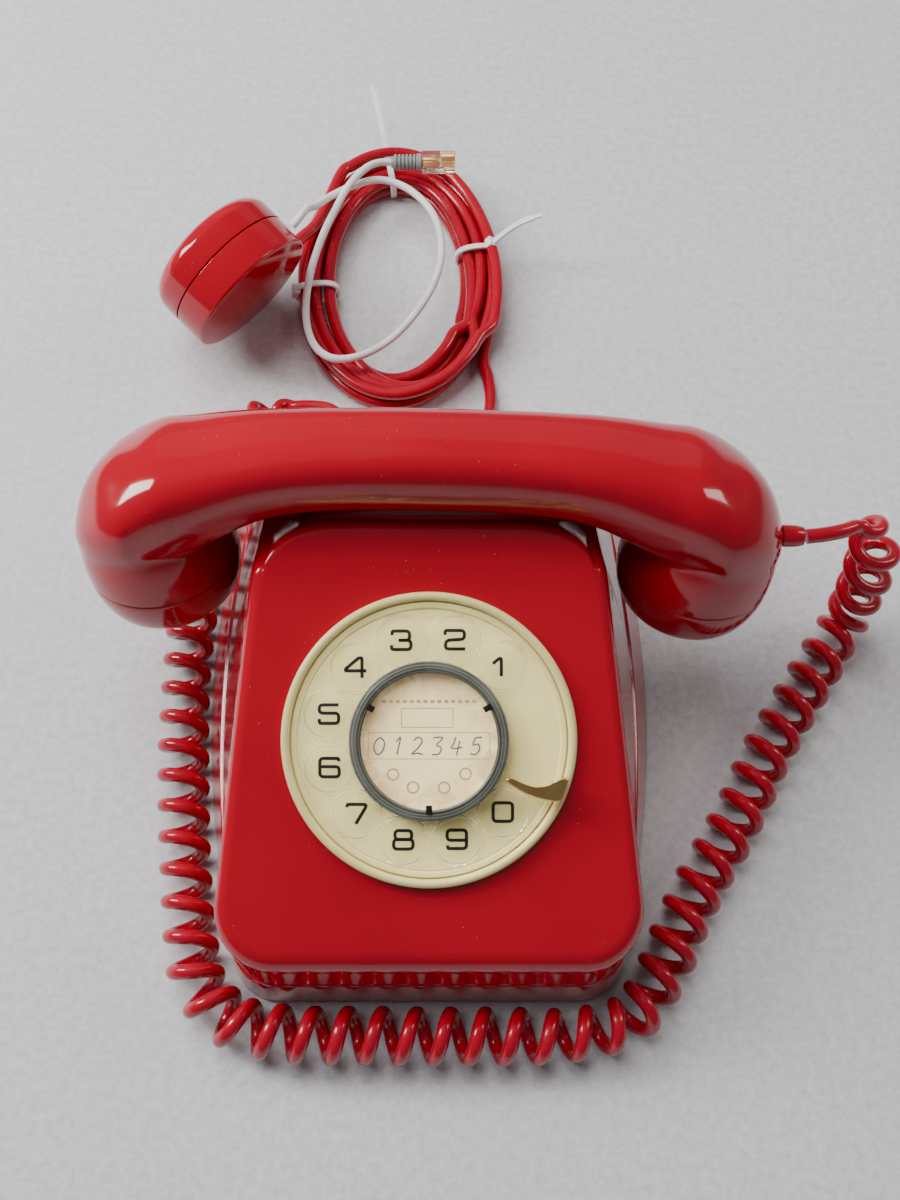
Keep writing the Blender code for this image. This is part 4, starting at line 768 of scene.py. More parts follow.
def between(upper, lower, count):
    """Levels evenly spaced between two, neither of them included."""
    shares = [k / (count + 1) for k in range(1, count + 1)]
    return [[a.lerp(b, t) for a, b in zip(upper, lower)] for t in shares]


def case_levels():
    """The outside from the face down to the rim, then the inside from the rim up."""
    case = sizes().case
    levels = [face_level(grow * MM, 0) for grow in FACE_STEPS]
    for k in range(11):
        turn = math.pi / 2 * k / 10
        levels.append(face_level(EDGE_ROUND * math.sin(turn), 4.4 * MM * (1 - math.cos(turn))))
    front, rear = BODY_FRONT + 1.3 * MM, BODY_REAR - 3 * MM
    waist = []
    for grow, rise in mm(*WAIST_STEPS):
        half = lambda y, grow=grow: waist_half(y) + grow
        corner = CORNER_FACE + 2 * MM
        waist.append(flat_level(half, front - grow * 0.3, rear + grow, corner, case.waist_height + rise))
    base = flat_level(base_half, BODY_FRONT, BODY_REAR, CORNER_BASE, RIM_HEIGHT + 0.7 * MM)

    def rim_level(inset):
        near, far = BODY_FRONT + inset, BODY_REAR - inset
        return flat_level(lambda y: base_half(y) - inset, near, far, CORNER_BASE, RIM_HEIGHT)

    under = rim_level(0.6 * MM)
    levels += between(levels[-1], waist[0], 6) + waist + between(waist[-1], base, 4) + [base, under]
    wall = case.wall
    levels += [
        rim_level(wall),
        flat_level(lambda y: waist_half(y) - wall, front + wall, rear - wall, CORNER_BASE, case.waist_height),
        face_level(EDGE_ROUND - wall, 6.5 * MM),
        face_level(1.5 * MM - wall, wall * 1.12 + 0.2 * MM),
    ]
    return levels


def case_mesh():
    levels = []
    for right in case_levels():
        levels.append(right + [Vector((-p.x, p.y, p.z)) for p in reversed(right)])
    count = len(levels[0])
    faces = bands(len(levels), count)
    for first in (0, (len(levels) - 1) * count):
        for k in range(count // 2 - 1):
            faces.append((first + k, first + k + 1, first + count - 2 - k, first + count - 1 - k))
    return surface("case", [p for level in levels for p in level], faces)


def cylinder_cutter(radius, low, high, place):
    deselect()
    bpy.ops.mesh.primitive_cylinder_add(
        vertices=96, radius=radius, depth=high - low, location=(0, 0, (low + high) / 2)
    )
    cutter = named("cutter")
    place_in_mesh(cutter, place)
    return cutter


class TELEPHONE_OT_case(bpy.types.Operator):
    """Adds the case: a leaning face, a trough across its top, a waist line and a skirt"""

    bl_idname = "telephone.case"
    bl_label = "Case"

    def execute(self, context):
        case = case_mesh()
        cutters = [cylinder_cutter(41.6 * MM, -12 * MM, 8 * MM, DIAL_PLACE)]
        for x, y in PLUNGER_PLACES:
            cutters.append(cylinder_cutter(4.1 * MM, 75 * MM, 110 * MM, Matrix.Translation((x, y, 0))))
        for at in (LINE_EXIT, CURLY_EXIT):
            cutters.append(cylinder_cutter(4.5 * MM, -12 * MM, 12 * MM, along((0, 1, 0), at)))
        cut(case, *cutters)
        smooth(case, 32)
        fit(case, "body", "red", "body_shell")
        return {"FINISHED"}


# ------------------------------------------------------------------ dial
PLATE_FLOOR = 1.0 * MM
WHEEL_BOTTOM, WHEEL_TOP = 2.7 * MM, 5.1 * MM


def arc(centre, radius, start, end, steps):
    """Points round part of a circle, its angles in degrees."""
    angles = [math.radians(start + (end - start) * k / steps) for k in range(steps + 1)]
    return [(centre[0] + radius * math.cos(a), centre[1] + radius * math.sin(a)) for a in angles]


def hole_places():
    dial = sizes().dial
    for k in range(10):
        a = dial.first_hole + k * dial.hole_step
        yield (k + 1) % 10, Vector((dial.hole_pitch * math.cos(a), dial.hole_pitch * math.sin(a), 0))


class TELEPHONE_OT_dial_plate(bpy.types.Operator):
    """Adds the ivory number plate: a dish with a beaded rim, a groove and a step inside it"""

    bl_idname = "telephone.dial_plate"
    bl_label = "Number Plate"

    def execute(self, context):
        r, floor = sizes().dial.radius / MM, PLATE_FLOOR / MM
        profile = [(6, floor), (r - 5.2, floor), (r - 4.9, floor + 0.25), (r - 4.6, floor + 0.7)]
        profile += [(r - 3.3, floor + 0.9), (r - 3.05, floor + 0.75), (r - 3, floor), (r - 2.65, floor)]
        profile += arc((r - 1.3, 1.75), 1.3, 178, 2, 16)
        profile += [(r, 0.3), (r - 2.4, 0.3), (r - 2.4, -7), (r - 4.4, -7), (r - 4.4, -1), (6, -1)]
        plate = turned("number_plate", mm(*profile), 144, DIAL_PLACE)
        smooth(plate, 38)
        fit(plate, "body", "ivory", "dial_plate")
        return {"FINISHED"}


def rounded_path(corners, radius, closed=False, steps=5):
    """The path with its corners rounded off."""
    corners = [Vector(p) for p in corners]
    count = len(corners)
    points = []
    for i, here in enumerate(corners):
        if not closed and i in (0, count - 1):
            points.append(here)
            continue
        before, after = corners[i - 1], corners[(i + 1) % count]
        reach = min(radius, (before - here).length * 0.49, (after - here).length * 0.49)
        start = here + (before - here).normalized() * reach
        end = here + (after - here).normalized() * reach
        for k in range(steps + 1):
            t = k / steps
            points.append(start * (1 - t) ** 2 + here * (2 * t * (1 - t)) + end * t**2)
    return points


def ribbon(name, path, width, place, low, high, closed=False):
    """A flat strip of this width along a path in the place's XY plane, from low to high."""
    count = len(path)
    verts = []
    for i, point in enumerate(path):
        before = path[i - 1] if closed or i else point
        after = path[(i + 1) % count] if closed or i < count - 1 else point
        way = (after - before).normalized()
        side = Vector((-way.y, way.x)) * width / 2
        for flank, height in ((side, low), (-side, low), (-side, high), (side, high)):
            verts.append(place @ Vector((point.x + flank.x, point.y + flank.y, height)))
    faces = bands(count, 4, closed)
    if not closed:
        faces += [(0, 1, 2, 3), tuple((count - 1) * 4 + k for k in (3, 2, 1, 0))]
    return surface(name, verts, faces)


# Each stroke: whether its ends meet, and its corners in a box one wide and one high.
NUMERALS = {
    0: [(True, ((0, 0), (1, 0), (1, 1), (0, 1)))],
    1: [(False, ((0.06, 0.62), (0.5, 1.0), (0.5, -0.06)))],
    2: [(False, ((0, 0.76), (0, 1), (1, 1), (1, 0.53), (0.06, 0.47), (0, 0), (1.05, 0)))],
    3: [
        (False, ((0.03, 0.78), (0.03, 1), (0.93, 1), (0.93, 0.5), (0.36, 0.5))),
        (False, ((0.36, 0.5), (1, 0.5), (1, 0), (0, 0), (0, 0.24))),
    ],
    4: [(False, ((0.85, -0.06), (0.85, 1.02), (0.68, 1.02), (0, 0.42), (0, 0.32), (1.08, 0.32)))],
    5: [(False, ((1, 1), (0, 1), (0, 0.55), (1, 0.55), (1, 0), (0, 0), (0, 0.24)))],
    6: [(False, ((0.97, 0.84), (0.97, 1), (0, 1), (0, 0), (1, 0), (1, 0.55), (0.03, 0.55)))],
    7: [(False, ((0.0, 0.84), (0.0, 1), (1.05, 1), (0.45, -0.06)))],
    8: [
        (True, ((0.07, 0.52), (0.93, 0.52), (0.93, 1), (0.07, 1))),
        (True, ((0, 0), (1, 0), (1, 0.52), (0, 0.52))),
    ],
    9: [(False, ((0.03, 0.18), (0.03, 0), (1, 0), (1, 1), (0, 1), (0, 0.45), (0.97, 0.45)))],
}


class TELEPHONE_OT_numerals(bpy.types.Operator):
    """Adds the ten printed numerals under the finger holes"""

    bl_idname = "telephone.numerals"
    bl_label = "Numerals"

    def execute(self, context):
        stroke = 0.98 * MM
        high = sizes().dial.numeral_height - 1.2 * MM
        wide = high * 1.05
        printed = []
        for number, centre in hole_places():
            for closed, corners in NUMERALS[number]:
                placed = [(centre.x + (x - 0.5) * wide, centre.y + (y - 0.5) * high) for x, y in corners]
                path = rounded_path(placed, 1.15 * MM, closed)
                low, high_print = PLATE_FLOOR - 0.02 * MM, PLATE_FLOOR + 0.05 * MM
                name = f"numeral_{number}"
                printed.append(ribbon(name, path, stroke, DIAL_PLACE, low, high_print, closed))
        numerals = join(printed)
        numerals.name = "numerals"
        fit(numerals, "body", "ink")
        return {"FINISHED"}


class TELEPHONE_OT_finger_wheel(bpy.types.Operator):
    """Adds the clear finger wheel: a bevelled disc whose ten holes have raised rims"""

    bl_idname = "telephone.finger_wheel"
    bl_label = "Finger Wheel"

    def execute(self, context):
        dial = sizes().dial
        r, hole, inner = dial.wheel_radius / MM, dial.hole_radius / MM, 21.4
        low, high = WHEEL_BOTTOM / MM, WHEEL_TOP / MM
        profile = [(inner, low), (r - 0.5, low), (r, low + 0.5), (r, high - 1.2), (r - 0.35, high - 0.6)]
        profile += [(r - 1.1, high - 0.25), (r - 2.2, high - 0.2), (inner, high - 0.2)]
        wheel = turned("wheel", mm(*profile), 144)
        rim, top = hole + 1.05, high + 0.8
        raised = mm((0, low + 0.4), (rim, low + 0.4), (rim, high - 0.15))
        raised += mm((rim - 0.12, top - 0.3), (rim - 0.4, top), (0, top))
        for _, centre in hole_places():
            boss = turned("boss", raised, 48, Matrix.Translation(centre))
            add_modifier(wheel, "BOOLEAN", operation="UNION", solver="EXACT", object=boss)
            bpy.data.objects.remove(boss, do_unlink=True)
        flare = hole + 0.3
        bore = mm((0, 0), (hole, 0), (hole, top - 0.3), (flare, top + 0.05), (flare, 8), (0, 8))
        for _, centre in hole_places():
            cut(wheel, turned("bore", bore, 64, Matrix.Translation(centre)))
        place_in_mesh(wheel, DIAL_PLACE)
        smooth(wheel, 32)
        fit(wheel, "rotor", "clear", "finger_wheel")
        wheel.visible_shadow = False
        return {"FINISHED"}


# The six digits written on the card, each as strokes in a box one wide and one high.
WRITTEN = (
    [((0.5, 1.0), (0.12, 0.72), (0.1, 0.3), (0.42, 0.0), (0.8, 0.22), (0.86, 0.7), (0.5, 1.0))],
    [((0.25, 0.72), (0.55, 1.0), (0.5, 0.5), (0.42, 0.0))],
    [((0.08, 0.78), (0.42, 1.0), (0.78, 0.78), (0.5, 0.38), (0.05, 0.02), (0.45, 0.08), (0.95, 0.0))],
    [((0.08, 0.95), (0.5, 1.0), (0.85, 0.92), (0.42, 0.56), (0.8, 0.4), (0.7, 0.05), (0.1, -0.02))],
    [
        ((0.35, 1.0), (0.2, 0.6), (0.05, 0.38), (0.5, 0.36), (0.95, 0.42)),
        ((0.68, 0.8), (0.62, 0.4), (0.55, -0.05)),
    ],
    [
        ((0.9, 1.0), (0.35, 0.96)),
        ((0.35, 0.96), (0.22, 0.55), (0.62, 0.6), (0.8, 0.3), (0.5, 0.0), (0.08, 0.06)),
    ],
)


def card_prints(place, height):
    """What is printed and written on the card: two outline boxes, a row of ticks, four rings, six digits."""
    line = 0.22 * MM
    faint = []
    for cx, cy, wide, high in ((-0.5, 6.7, 14.9, 5.5), (0, -1.4, 35, 7.6)):
        corners = [(cx - wide / 2, cy - high / 2), (cx + wide / 2, cy - high / 2)]
        corners += [(cx + wide / 2, cy + high / 2), (cx - wide / 2, cy + high / 2)]
        path = rounded_path([(x * MM, y * MM) for x, y in corners], 0.1 * MM, True)
        faint.append(ribbon("outline", path, line, place, height, height + 0.04 * MM, True))
    for k in range(14):
        x = (-13 + 2 * k) * MM
        path = [Vector((x - 0.6 * MM, 11.4 * MM)), Vector((x + 0.6 * MM, 11.4 * MM))]
        faint.append(ribbon("tick", path, 0.9 * MM, place, height, height + 0.03 * MM))
    for degrees in (-137, -109, -72, -42):
        a = math.radians(degrees)
        centre = Vector((14.2 * MM * math.cos(a), 14.2 * MM * math.sin(a)))
        spokes = [math.tau * k / 24 for k in range(24)]
        path = [centre + 1.6 * MM * Vector((math.cos(b), math.sin(b))) for b in spokes]
        faint.append(ribbon("ring", path, 0.5 * MM, place, height, height + 0.04 * MM, True))
    printed = join(faint)
    printed.name = "card_outlines"
    fit(printed, "rotor", "faint_ink")
    written = []
    for k, strokes in enumerate(WRITTEN):
        left, low = (-16.4 + 5.6 * k) * MM, -3.9 * MM
        for stroke in strokes:
            at = [Vector((left + (3.6 * x + 0.55 * y) * MM, low + 5.0 * y * MM, 0)) for x, y in stroke]
            path = [Vector((p.x, p.y)) for p in evenly(at, 0.25 * MM)]
            written.append(ribbon("digit", path, 0.4 * MM, place, height, height + 0.06 * MM))
    digits = join(written)
    digits.name = "card_digits"
    fit(digits, "rotor", "pen_ink")


class TELEPHONE_OT_dial_centre(bpy.types.Operator):
    """Adds what the wheel carries: the grey ring with three clips, the paper card and its clear cover"""

    bl_idname = "telephone.dial_centre"
    bl_label = "Dial Centre"

    def execute(self, context):
        r, floor = sizes().dial.card_radius / MM, 1.6
        profile = [(2.2, floor), (r + 1.2, floor), (r + 1.2, 5.4), (r + 3.3, 5.4), (r + 3.35, 5.9)]
        profile += [(r + 3.1, 6.3), (r + 2.6, 6.5), (r + 1.5, 6.6)]
        for k in range(3):
            edge = r + 1.3 - 0.42 * k
            profile += [(edge, 6.6), (edge - 0.1, 6.35), (edge - 0.25, 6.35)]
        profile += [(r + 0.1, 6.3), (r + 0.25, 4.2), (r + 0.3, floor + 1), (2.2, floor + 1)]
        ring = turned("dial_ring", mm(*profile), 144, DIAL_PLACE)
        smooth(ring, 30)
        fit(ring, "rotor", "grey_ring", "centre_ring")
        card_low, card_high = floor + 1.3, floor + 1.7
        sheet = mm((0, card_low), (r, card_low), (r, card_high), (0, card_high))
        card = turned("card", sheet, 96, DIAL_PLACE)
        smooth(card, 30)
        fit(card, "rotor", "paper", "number_card")
        card_prints(DIAL_PLACE, card_high * MM)
        low = card_low + 0.75
        lens = [(0, low), (r - 0.1, low), (r - 0.1, 5.9), (r - 0.5, 6.3)]
        lens += [(r - 1.6, 6.55), (r - 4, 6.7), (0, 6.8)]
        cover = turned("card_glass", mm(*lens), 96, DIAL_PLACE)
        smooth(cover, 30)
        fit(cover, "rotor", "clear", "card_cover")
        cover.visible_shadow = False
        clips = []
        for degrees in (30, 150, 270):
            turn = DIAL_PLACE @ Matrix.Rotation(math.radians(degrees), 4, "Z")
            corners = mm((r - 1.6, -0.9, 6.85), (r + 0.9, 0.9, 7.15))
            clips.append(block("clip", *corners, 0.12 * MM, 2, turn))
        clip = join(clips)
        clip.name = "card_clips"
        smooth(clip, 40)
        fit(clip, "rotor", "dark_steel")
        return {"FINISHED"}


STOP_OUTLINE = (
    (22.1, -11.2), (22.6, -10.4), (23.4, -10.3), (26.2, -11.7), (30.0, -13.0), (33.9, -12.8), (36.8, -11.5),
    (39.3, -10.3), (40.2, -10.8), (39.0, -14.4), (37.8, -17.3), (34.8, -17.0), (31.0, -16.1), (27.2, -14.6),
    (23.8, -12.6),
)


class TELEPHONE_OT_finger_stop(bpy.types.Operator):
    """Adds the gilt finger stop: a hooked blade over the wheel and the foot that holds it"""

    bl_idname = "telephone.finger_stop"
    bl_label = "Finger Stop"

    def execute(self, context):
        low, high = 6.35 * MM, 7.75 * MM
        path = rounded_path(mm(*STOP_OUTLINE), 1.4 * MM, True, 4)
        middle = sum(path, Vector((0, 0))) / len(path)
        rings = []
        levels = ((low, 0.05), (low + 0.2 * MM, 0.0), (high - 0.45 * MM, 0.0))
        levels += ((high - 0.12 * MM, 0.06), (high, 0.17))
        for height, shrink in levels:
            rings.append([DIAL_PLACE @ Vector((*(p.lerp(middle, shrink)), height)) for p in path])
        blade = lofted("stop_hook", rings)
        turn = DIAL_PLACE @ Matrix.Rotation(math.radians(-19.5), 4, "Z")
        foot = block("foot", *mm((40.1, -3.3, 3.3), (41.6, 3.3, 7.0)), 0.3 * MM, 2, turn)
        stop = join([blade, foot])
        smooth(stop, 42)
        fit(stop, "body", "gilt", "finger_stop")
        return {"FINISHED"}


# ------------------------------------------------------------------ handset
# The handle's outlines from its middle to its end: distances along it, then heights, in millimetres.
HANDLE_TOP = ((0, 22, 41, 56, 71, 86, 97, 104, 108), (12, 11.6, 10.5, 8.6, 5.0, -1.2, -9.5, -18, -26))
HANDLE_UNDERSIDE = ((0, 22, 39, 50, 57, 66, 84, 108), (-12, -12.4, -13.9, -16.8, -20.5, -26, -32, -35))


def handset_place():
    handset = sizes().handset
    lean = Matrix.Rotation(-handset.lean, 4, "X")
    return Matrix.Translation((0, handset.y, handset.z)) @ Matrix.Rotation(handset.yaw, 4, "Z") @ lean


def cup_place(side):
    """A cup's place in the handset: its origin in the seam, +Z out of the cap."""
    handset = sizes().handset
    axis = Vector((-side * math.sin(handset.toe_in), 0, -math.cos(handset.toe_in)))
    return along(axis, (side * handset.cup_x, 0, handset.cup_seam))


def spine():
    """Stations from the handle's middle to the right cup's seam: x, z, lean, half depth, half height."""
    handset = sizes().handset
    x, r = handset.cup_x / MM, handset.cup_radius / MM
    seam = (x, handset.cup_seam / MM, -90 - math.degrees(handset.toe_in), r, r)
    rows = [(0, 0, 0, 15, 12), (22, -0.4, -2, 15, 12), (40, -1.7, -6, 15.6, 12.3)]
    rows += [(53, -3.9, -13, 17.2, 13.2)]
    rows += [(x - 20, -8.2, -27, r - 4.7, r - 8.7), (x - 11, -14.6, -45, r - 2.5, r - 5.3)]
    rows += [(x - 5, -22.6, -62, r - 1.1, r - 2.7), (x - 1.7, -31.5, -79, r - 0.3, r - 1.1), seam]
    return np.array(rows, dtype=float)


def spread(rows, per_step):
    """Rows between the given ones, on a smooth curve through them."""
    return np.array([spline_point(rows, k / per_step) for k in range(per_step * (len(rows) - 1) + 1)])


def soft_step(value, low, high):
    t = np.clip((value - low) / (high - low), 0.0, 1.0)
    return t * t * (3 - 2 * t)


def smooth_outline(x, stations, values):
    """The outline through these values, with a smooth bend at each station."""
    stations, values = np.array(stations, dtype=float), np.array(values, dtype=float)
    slope = np.gradient(values, stations)
    slope[0] = 0.0
    i = np.clip(np.searchsorted(stations, x) - 1, 0, len(stations) - 2)
    width = stations[i + 1] - stations[i]
    t = np.clip((x - stations[i]) / width, 0.0, 1.0)
    rise = values[i] * (2 * t**3 - 3 * t**2 + 1) + values[i + 1] * (3 * t**2 - 2 * t**3)
    return rise + width * (slope[i] * (t**3 - 2 * t**2 + t) + slope[i + 1] * (t**3 - t**2))


def handset_field(points):
    """Below nought inside the handle or a cup's dome, which flow together above and crease below."""
    handset = sizes().handset
    x, y, z = np.abs(points[..., 0]) / MM, points[..., 1] / MM, points[..., 2] / MM
    top = smooth_outline(x, *HANDLE_TOP)
    low = smooth_outline(x, *HANDLE_UNDERSIDE)
    depth = np.interp(x, (0, 22, 40, 53, 64, 76, 90), (15, 15.1, 15.8, 17.2, 19.0, 21.3, 23.4))
    round_end = np.sqrt(np.maximum(24.3**2 - np.maximum(x - 84, 0.0) ** 2, 0.3))
    depth = np.minimum(depth, round_end * 0.965)
    middle, half = (top + low) / 2, (top - low) / 2
    power = 2.75
    reach = (np.abs(y / depth) ** power + np.abs((z - middle) / half) ** power) ** (1 / power)
    handle = (reach - 1) * np.minimum(depth, half) + 4 * np.maximum(x - 106.5, 0.0)
    r, lean = handset.cup_radius / MM, handset.toe_in
    dx, dz = x - handset.cup_x / MM, z - handset.cup_seam / MM
    across = dx * math.cos(lean) - dz * math.sin(lean)
    up = dz * math.cos(lean) + dx * math.sin(lean)
    tall = np.where(up > 0, 39.5, 400.0)
    dome = (np.sqrt((across / r) ** 2 + (y / r) ** 2 + (up / tall) ** 2) - 1) * r
    height = (z - middle) / half
    blend = 1.2 + 11.0 * soft_step(height, -0.45, 0.75) * (1 - 0.75 * soft_step(x, 76, 92))
    share = np.maximum(blend - np.abs(handle - dome), 0.0) / blend
    return np.minimum(handle, dome) - share * share * blend / 4


def handset_rings(around=112):
    """Rings of points on the handset's skin, from the left cup's seam to the right one's."""
    rows = spread(spine(), 11)
    rows[:, :2] *= MM
    rows[:, 3:] *= MM
    turn = np.arange(around) * math.tau / around
    rings = []
    for x, z, lean, depth, height in rows:
        a = math.radians(lean)
        up = np.array((-math.sin(a), 0.0, math.cos(a)))
        ways = np.cos(turn)[:, None] * np.array((0.0, depth, 0.0)) + np.sin(turn)[:, None] * up * height
        centre = np.array((x, 0.0, z))
        near, far = np.zeros(around), np.full(around, 1.9)
        for _ in range(40):
            middle = (near + far) / 2
            inside = handset_field(centre + ways * middle[:, None]) < 0
            near, far = np.where(inside, middle, near), np.where(inside, far, middle)
        rings.append(centre + ways * near[:, None])
    mirror = np.array((-1.0, 1.0, 1.0))
    left = [ring * mirror for ring in reversed(rings[1:])]
    return left + rings


class TELEPHONE_OT_handset(bpy.types.Operator):
    """Adds the handset: one moulding that swells into two cups, and the gland its cord leaves by"""

    bl_idname = "telephone.handset"
    bl_label = "Handset"

    def execute(self, context):
        place = handset_place()
        rings = [[place @ Vector(p) for p in ring] for ring in handset_rings()]
        handle = lofted("handle", rings)
        smooth(handle, 55)
        fit(handle, "handset", "red", "handset_shell")
        handset = sizes().handset
        at = place @ along((1, 0, 0), (handset.cup_x + handset.cup_radius - 1.7 * MM, 0.5 * MM, -30 * MM))
        corners = mm((0, -8, 0), (2.6, -8, 0), (2.6, 2.0, 0), (3.5, 2.0, 0.5))
        corners += mm((3.4, 6.4, 0.4), (2.9, 9, 0.6), (0, 9, 0))
        gland = turned("cord_gland", rounded_profile(corners), 40, at)
        smooth(gland, 40)
        fit(gland, "handset", "cord", "handset_gland")
        return {"FINISHED"}


class TELEPHONE_OT_caps(bpy.types.Operator):
    """Adds the two screw-on caps with their sound holes"""

    bl_idname = "telephone.caps"
    bl_label = "Screw-on Caps"

    def execute(self, context):
        handset = sizes().handset
        r, d = handset.cup_radius / MM, handset.cap_depth / MM
        outer = [(r - 0.55, 0.3), (r - 0.3, 0.42), (r - 0.18, 0.9), (r - 0.1, 2.2), (r - 0.35, 5.4)]
        outer += [(r - 1.0, 9.0), (r - 2.2, 12.6), (r - 4.0, 15.4), (r - 6.4, 17.1)]
        outer += [(r - 9.2, 17.85), (r - 11.5, d)]
        fine = [(p.x, p.z) for p in evenly([(x, 0, z) for x, z in outer], 0.7)]
        profile = mm((0, 0.3), *fine, (r - 13.5, d - 0.5), (0, d - 1.6))
        ends = ((-1, "ear_cap", "earpiece_cap"), (1, "mouth_cap", "mouthpiece_cap"))
        for side, name, node in ends:
            cap = turned(name, profile, 112)
            for x, y in mm((0, 0), *arc((0, 0), 6.2, 0, 300, 5)):
                at = Matrix.Translation((x, y, 0))
                cut(cap, cylinder_cutter(1.3 * MM, (d - 6) * MM, (d + 4) * MM, at))
            place_in_mesh(cap, handset_place() @ cup_place(side))
            smooth(cap, 34)
            fit(cap, "handset", "red", node)
        return {"FINISHED"}


# ------------------------------------------------------------------ cords
LEAD_ROUTE = ((116.2, 28, 75.9), (121, 28.4, 76.2), (127, 29.8, 75.8), (133.6, 32.3, 74.4))
CURLY_ROUTE = (
    (136.5, 33.5, 73), (141.5, 34.5, 64), (145.5, 34, 50), (147.5, 33, 34), (148.3, 32, 21.5),
    (146.5, 28.3, 12.5), (142, 21.5, 9.5), (132.5, 7.3, 9.3), (122.4, -7.5, 9.3),
    (113.3, -21.8, 9.3), (105.8, -35.8, 9.3),
    (97.8, -49.4, 9.3), (89, -62.6, 9.3), (81.2, -76.5, 9.3), (73.5, -92, 9.3), (62.5, -106.2, 9.3),
    (44, -111, 9.3), (22, -111.4, 9.3), (0, -111.4, 9.3), (-22, -111.2, 9.3), (-42, -110.8, 9.3),
    (-60.5, -107.2, 9.3), (-72, -96, 9.3), (-76, -82, 9.3), (-78.6, -65, 9.3), (-81, -45, 9.3),
    (-82.9, -24, 9.3), (-84.1, -3, 9.3), (-84.4, 16, 9.3), (-83.8, 38, 9.3), (-82, 60, 9.3),
    (-79.5, 82, 9.3), (-75, 101, 9.5),
    (-67, 113.5, 10), (-56, 118, 11), (-44.5, 117.5, 12.5),
)
TAIL_ROUTE = (
    (-43.4, 117.3, 12.7), (-38, 115.8, 13.3), (-33, 111.5, 13.9), (-30.3, 107.5, 14),
    (-30, 101, 14), (-30, 95, 14),
)
LINE_ROUTE = (
    (20, 93, 12), (20, 102, 12), (20, 106.5, 11.8), (20.8, 112, 9), (22.2, 116.5, 5.4), (23.6, 121.5, 3.2),
    (24.2, 129, 2.7), (23.2, 138, 2.9), (21.8, 146.5, 3.4),
)
LINE_END = ((-45, 206, 15.0), (-52, 194, 17.6), (-57.5, 184, 19.3), (-60, 179, 20.4))
WHITE_ROUTE = (
    (-51.9, 178.4, 43), (-49.4, 181, 44.4), (-47.2, 186, 43.4), (-46.2, 193.5, 36.5), (-44.8, 202, 28),
    (-40, 212.5, 21.5), (-31, 221.5, 18), (-20, 225.5, 17), (-8, 220.5, 16.6), (1.5, 208, 16.6),
    (5, 192, 16.6), (3, 176, 16.6), (-3.5, 161, 16.6), (-13.5, 147, 16.6), (-25, 138.5, 16.6),
    (-36, 136.5, 16.6),
    (-43.5, 141.5, 16.6), (-47.5, 152, 16.6), (-48.3, 165, 16.8), (-46.5, 180, 17.8), (-42.5, 195, 19.2),
    (-37.5, 207.5, 20.8), (-32.5, 218, 22.2), (-26, 227, 22), (-20.6, 231.6, 20.4), (-16, 232.7, 19.4),
)
COIL_CENTRE = Vector((-12.5, 184, 7.8)) * MM
COIL_HALF_WIDTH, COIL_HALF_LENGTH = 33 * MM, 54 * MM


def metres(route):
    return [Vector(p) * MM for p in route]


def curly_path():
    """The wire's own line: straight out of the gland, curls that grow in, then straight into the case."""
    cord = sizes().cord
    lead, curls, tail = metres(LEAD_ROUTE), metres(CURLY_ROUTE), metres(TAIL_ROUTE)
    spacing = cord.curly_pitch / 22
    line = evenly(lead + curls + tail, spacing)
    start = run_length(evenly(lead, spacing))
    end = run_length(line) - run_length(evenly(tail, spacing)) - 4 * MM
    full = cord.curly_radius - cord.curly_wire / 2
    points = []
    run, turned_by = 0.0, 0.0
    for i, (point, (_, side, up)) in enumerate(zip(line, transported(line))):
        step = (point - line[i - 1]).length if i else 0.0
        run += step
        hanging = float(soft_step(point.z, 16 * MM, 40 * MM))
        turned_by += step / (cord.curly_pitch * (1 + 0.6 * hanging))
        grown = float(soft_step(run, start - 6 * MM, start + 24 * MM))
        grown *= float(soft_step(-run, -end, 34 * MM - end))
        pulled = 1 - 0.06 * math.sin(run * 31) - 0.04 * math.sin(run * 77 + 1)
        stretch = 0.35 * math.sin(run * 19) + 0.2 * math.sin(run * 47)
        a = -math.tau * turned_by + stretch + 2.2
        reach = full * grown * min(1.0, pulled)
        points.append(point + reach * (math.cos(a) * side + math.sin(a) * up))
    return points


class TELEPHONE_OT_curly_cord(bpy.types.Operator):
    """Adds the curly cord from the handset's gland, round the front of the case, into its rear wall"""

    bl_idname = "telephone.curly_cord"
    bl_label = "Curly Cord"

    def execute(self, context):
        path = curly_path()
        cord = tube_mesh("curly_cord", path, sizes().cord.curly_wire / 2, 14)
        dress(cord, "cord")
        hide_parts("handset_cord", "handset_cord_lead", "handset_cord_tail")
        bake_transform(cord)
        return {"FINISHED"}


def coil_point(turn):
    """A point of the wound line cord; turn counts the turns, from nought at the right, bottom end."""
    slots = ((5.0, 2.7), (0.1, 2.55), (-4.8, 2.7), (-4.6, 7.3), (0.2, 7.5), (5.0, 7.2), (5.4, 11.4))
    start = -30
    whole = int(turn)
    share = turn - whole
    moved = float(soft_step(share, 0.72, 1.0))
    here, there = slots[min(whole, 6)], slots[min(whole + 1, 6)]
    out = here[0] + (there[0] - here[0]) * moved
    rise = here[1] + (there[1] - here[1]) * moved
    a = math.radians(start + 360 * turn)
    fan = max(0.0, math.cos(a - math.radians(-50))) ** 2
    out += fan * (3.0 * math.sin(whole * 2.3 + 0.7) + 1.2) + 0.7 * math.sin(2 * a + whole * 1.7)
    rise += 0.5 * fan * (1 + math.sin(whole * 3.1))
    if turn > 6.2:
        rise += 3.0 * float(soft_step(turn, 6.2, 6.46))
    x = (COIL_HALF_WIDTH + out * MM) * math.cos(a)
    y = (COIL_HALF_LENGTH + out * MM) * math.sin(a)
    return Vector((COIL_CENTRE.x + x, COIL_CENTRE.y + y, rise * MM))


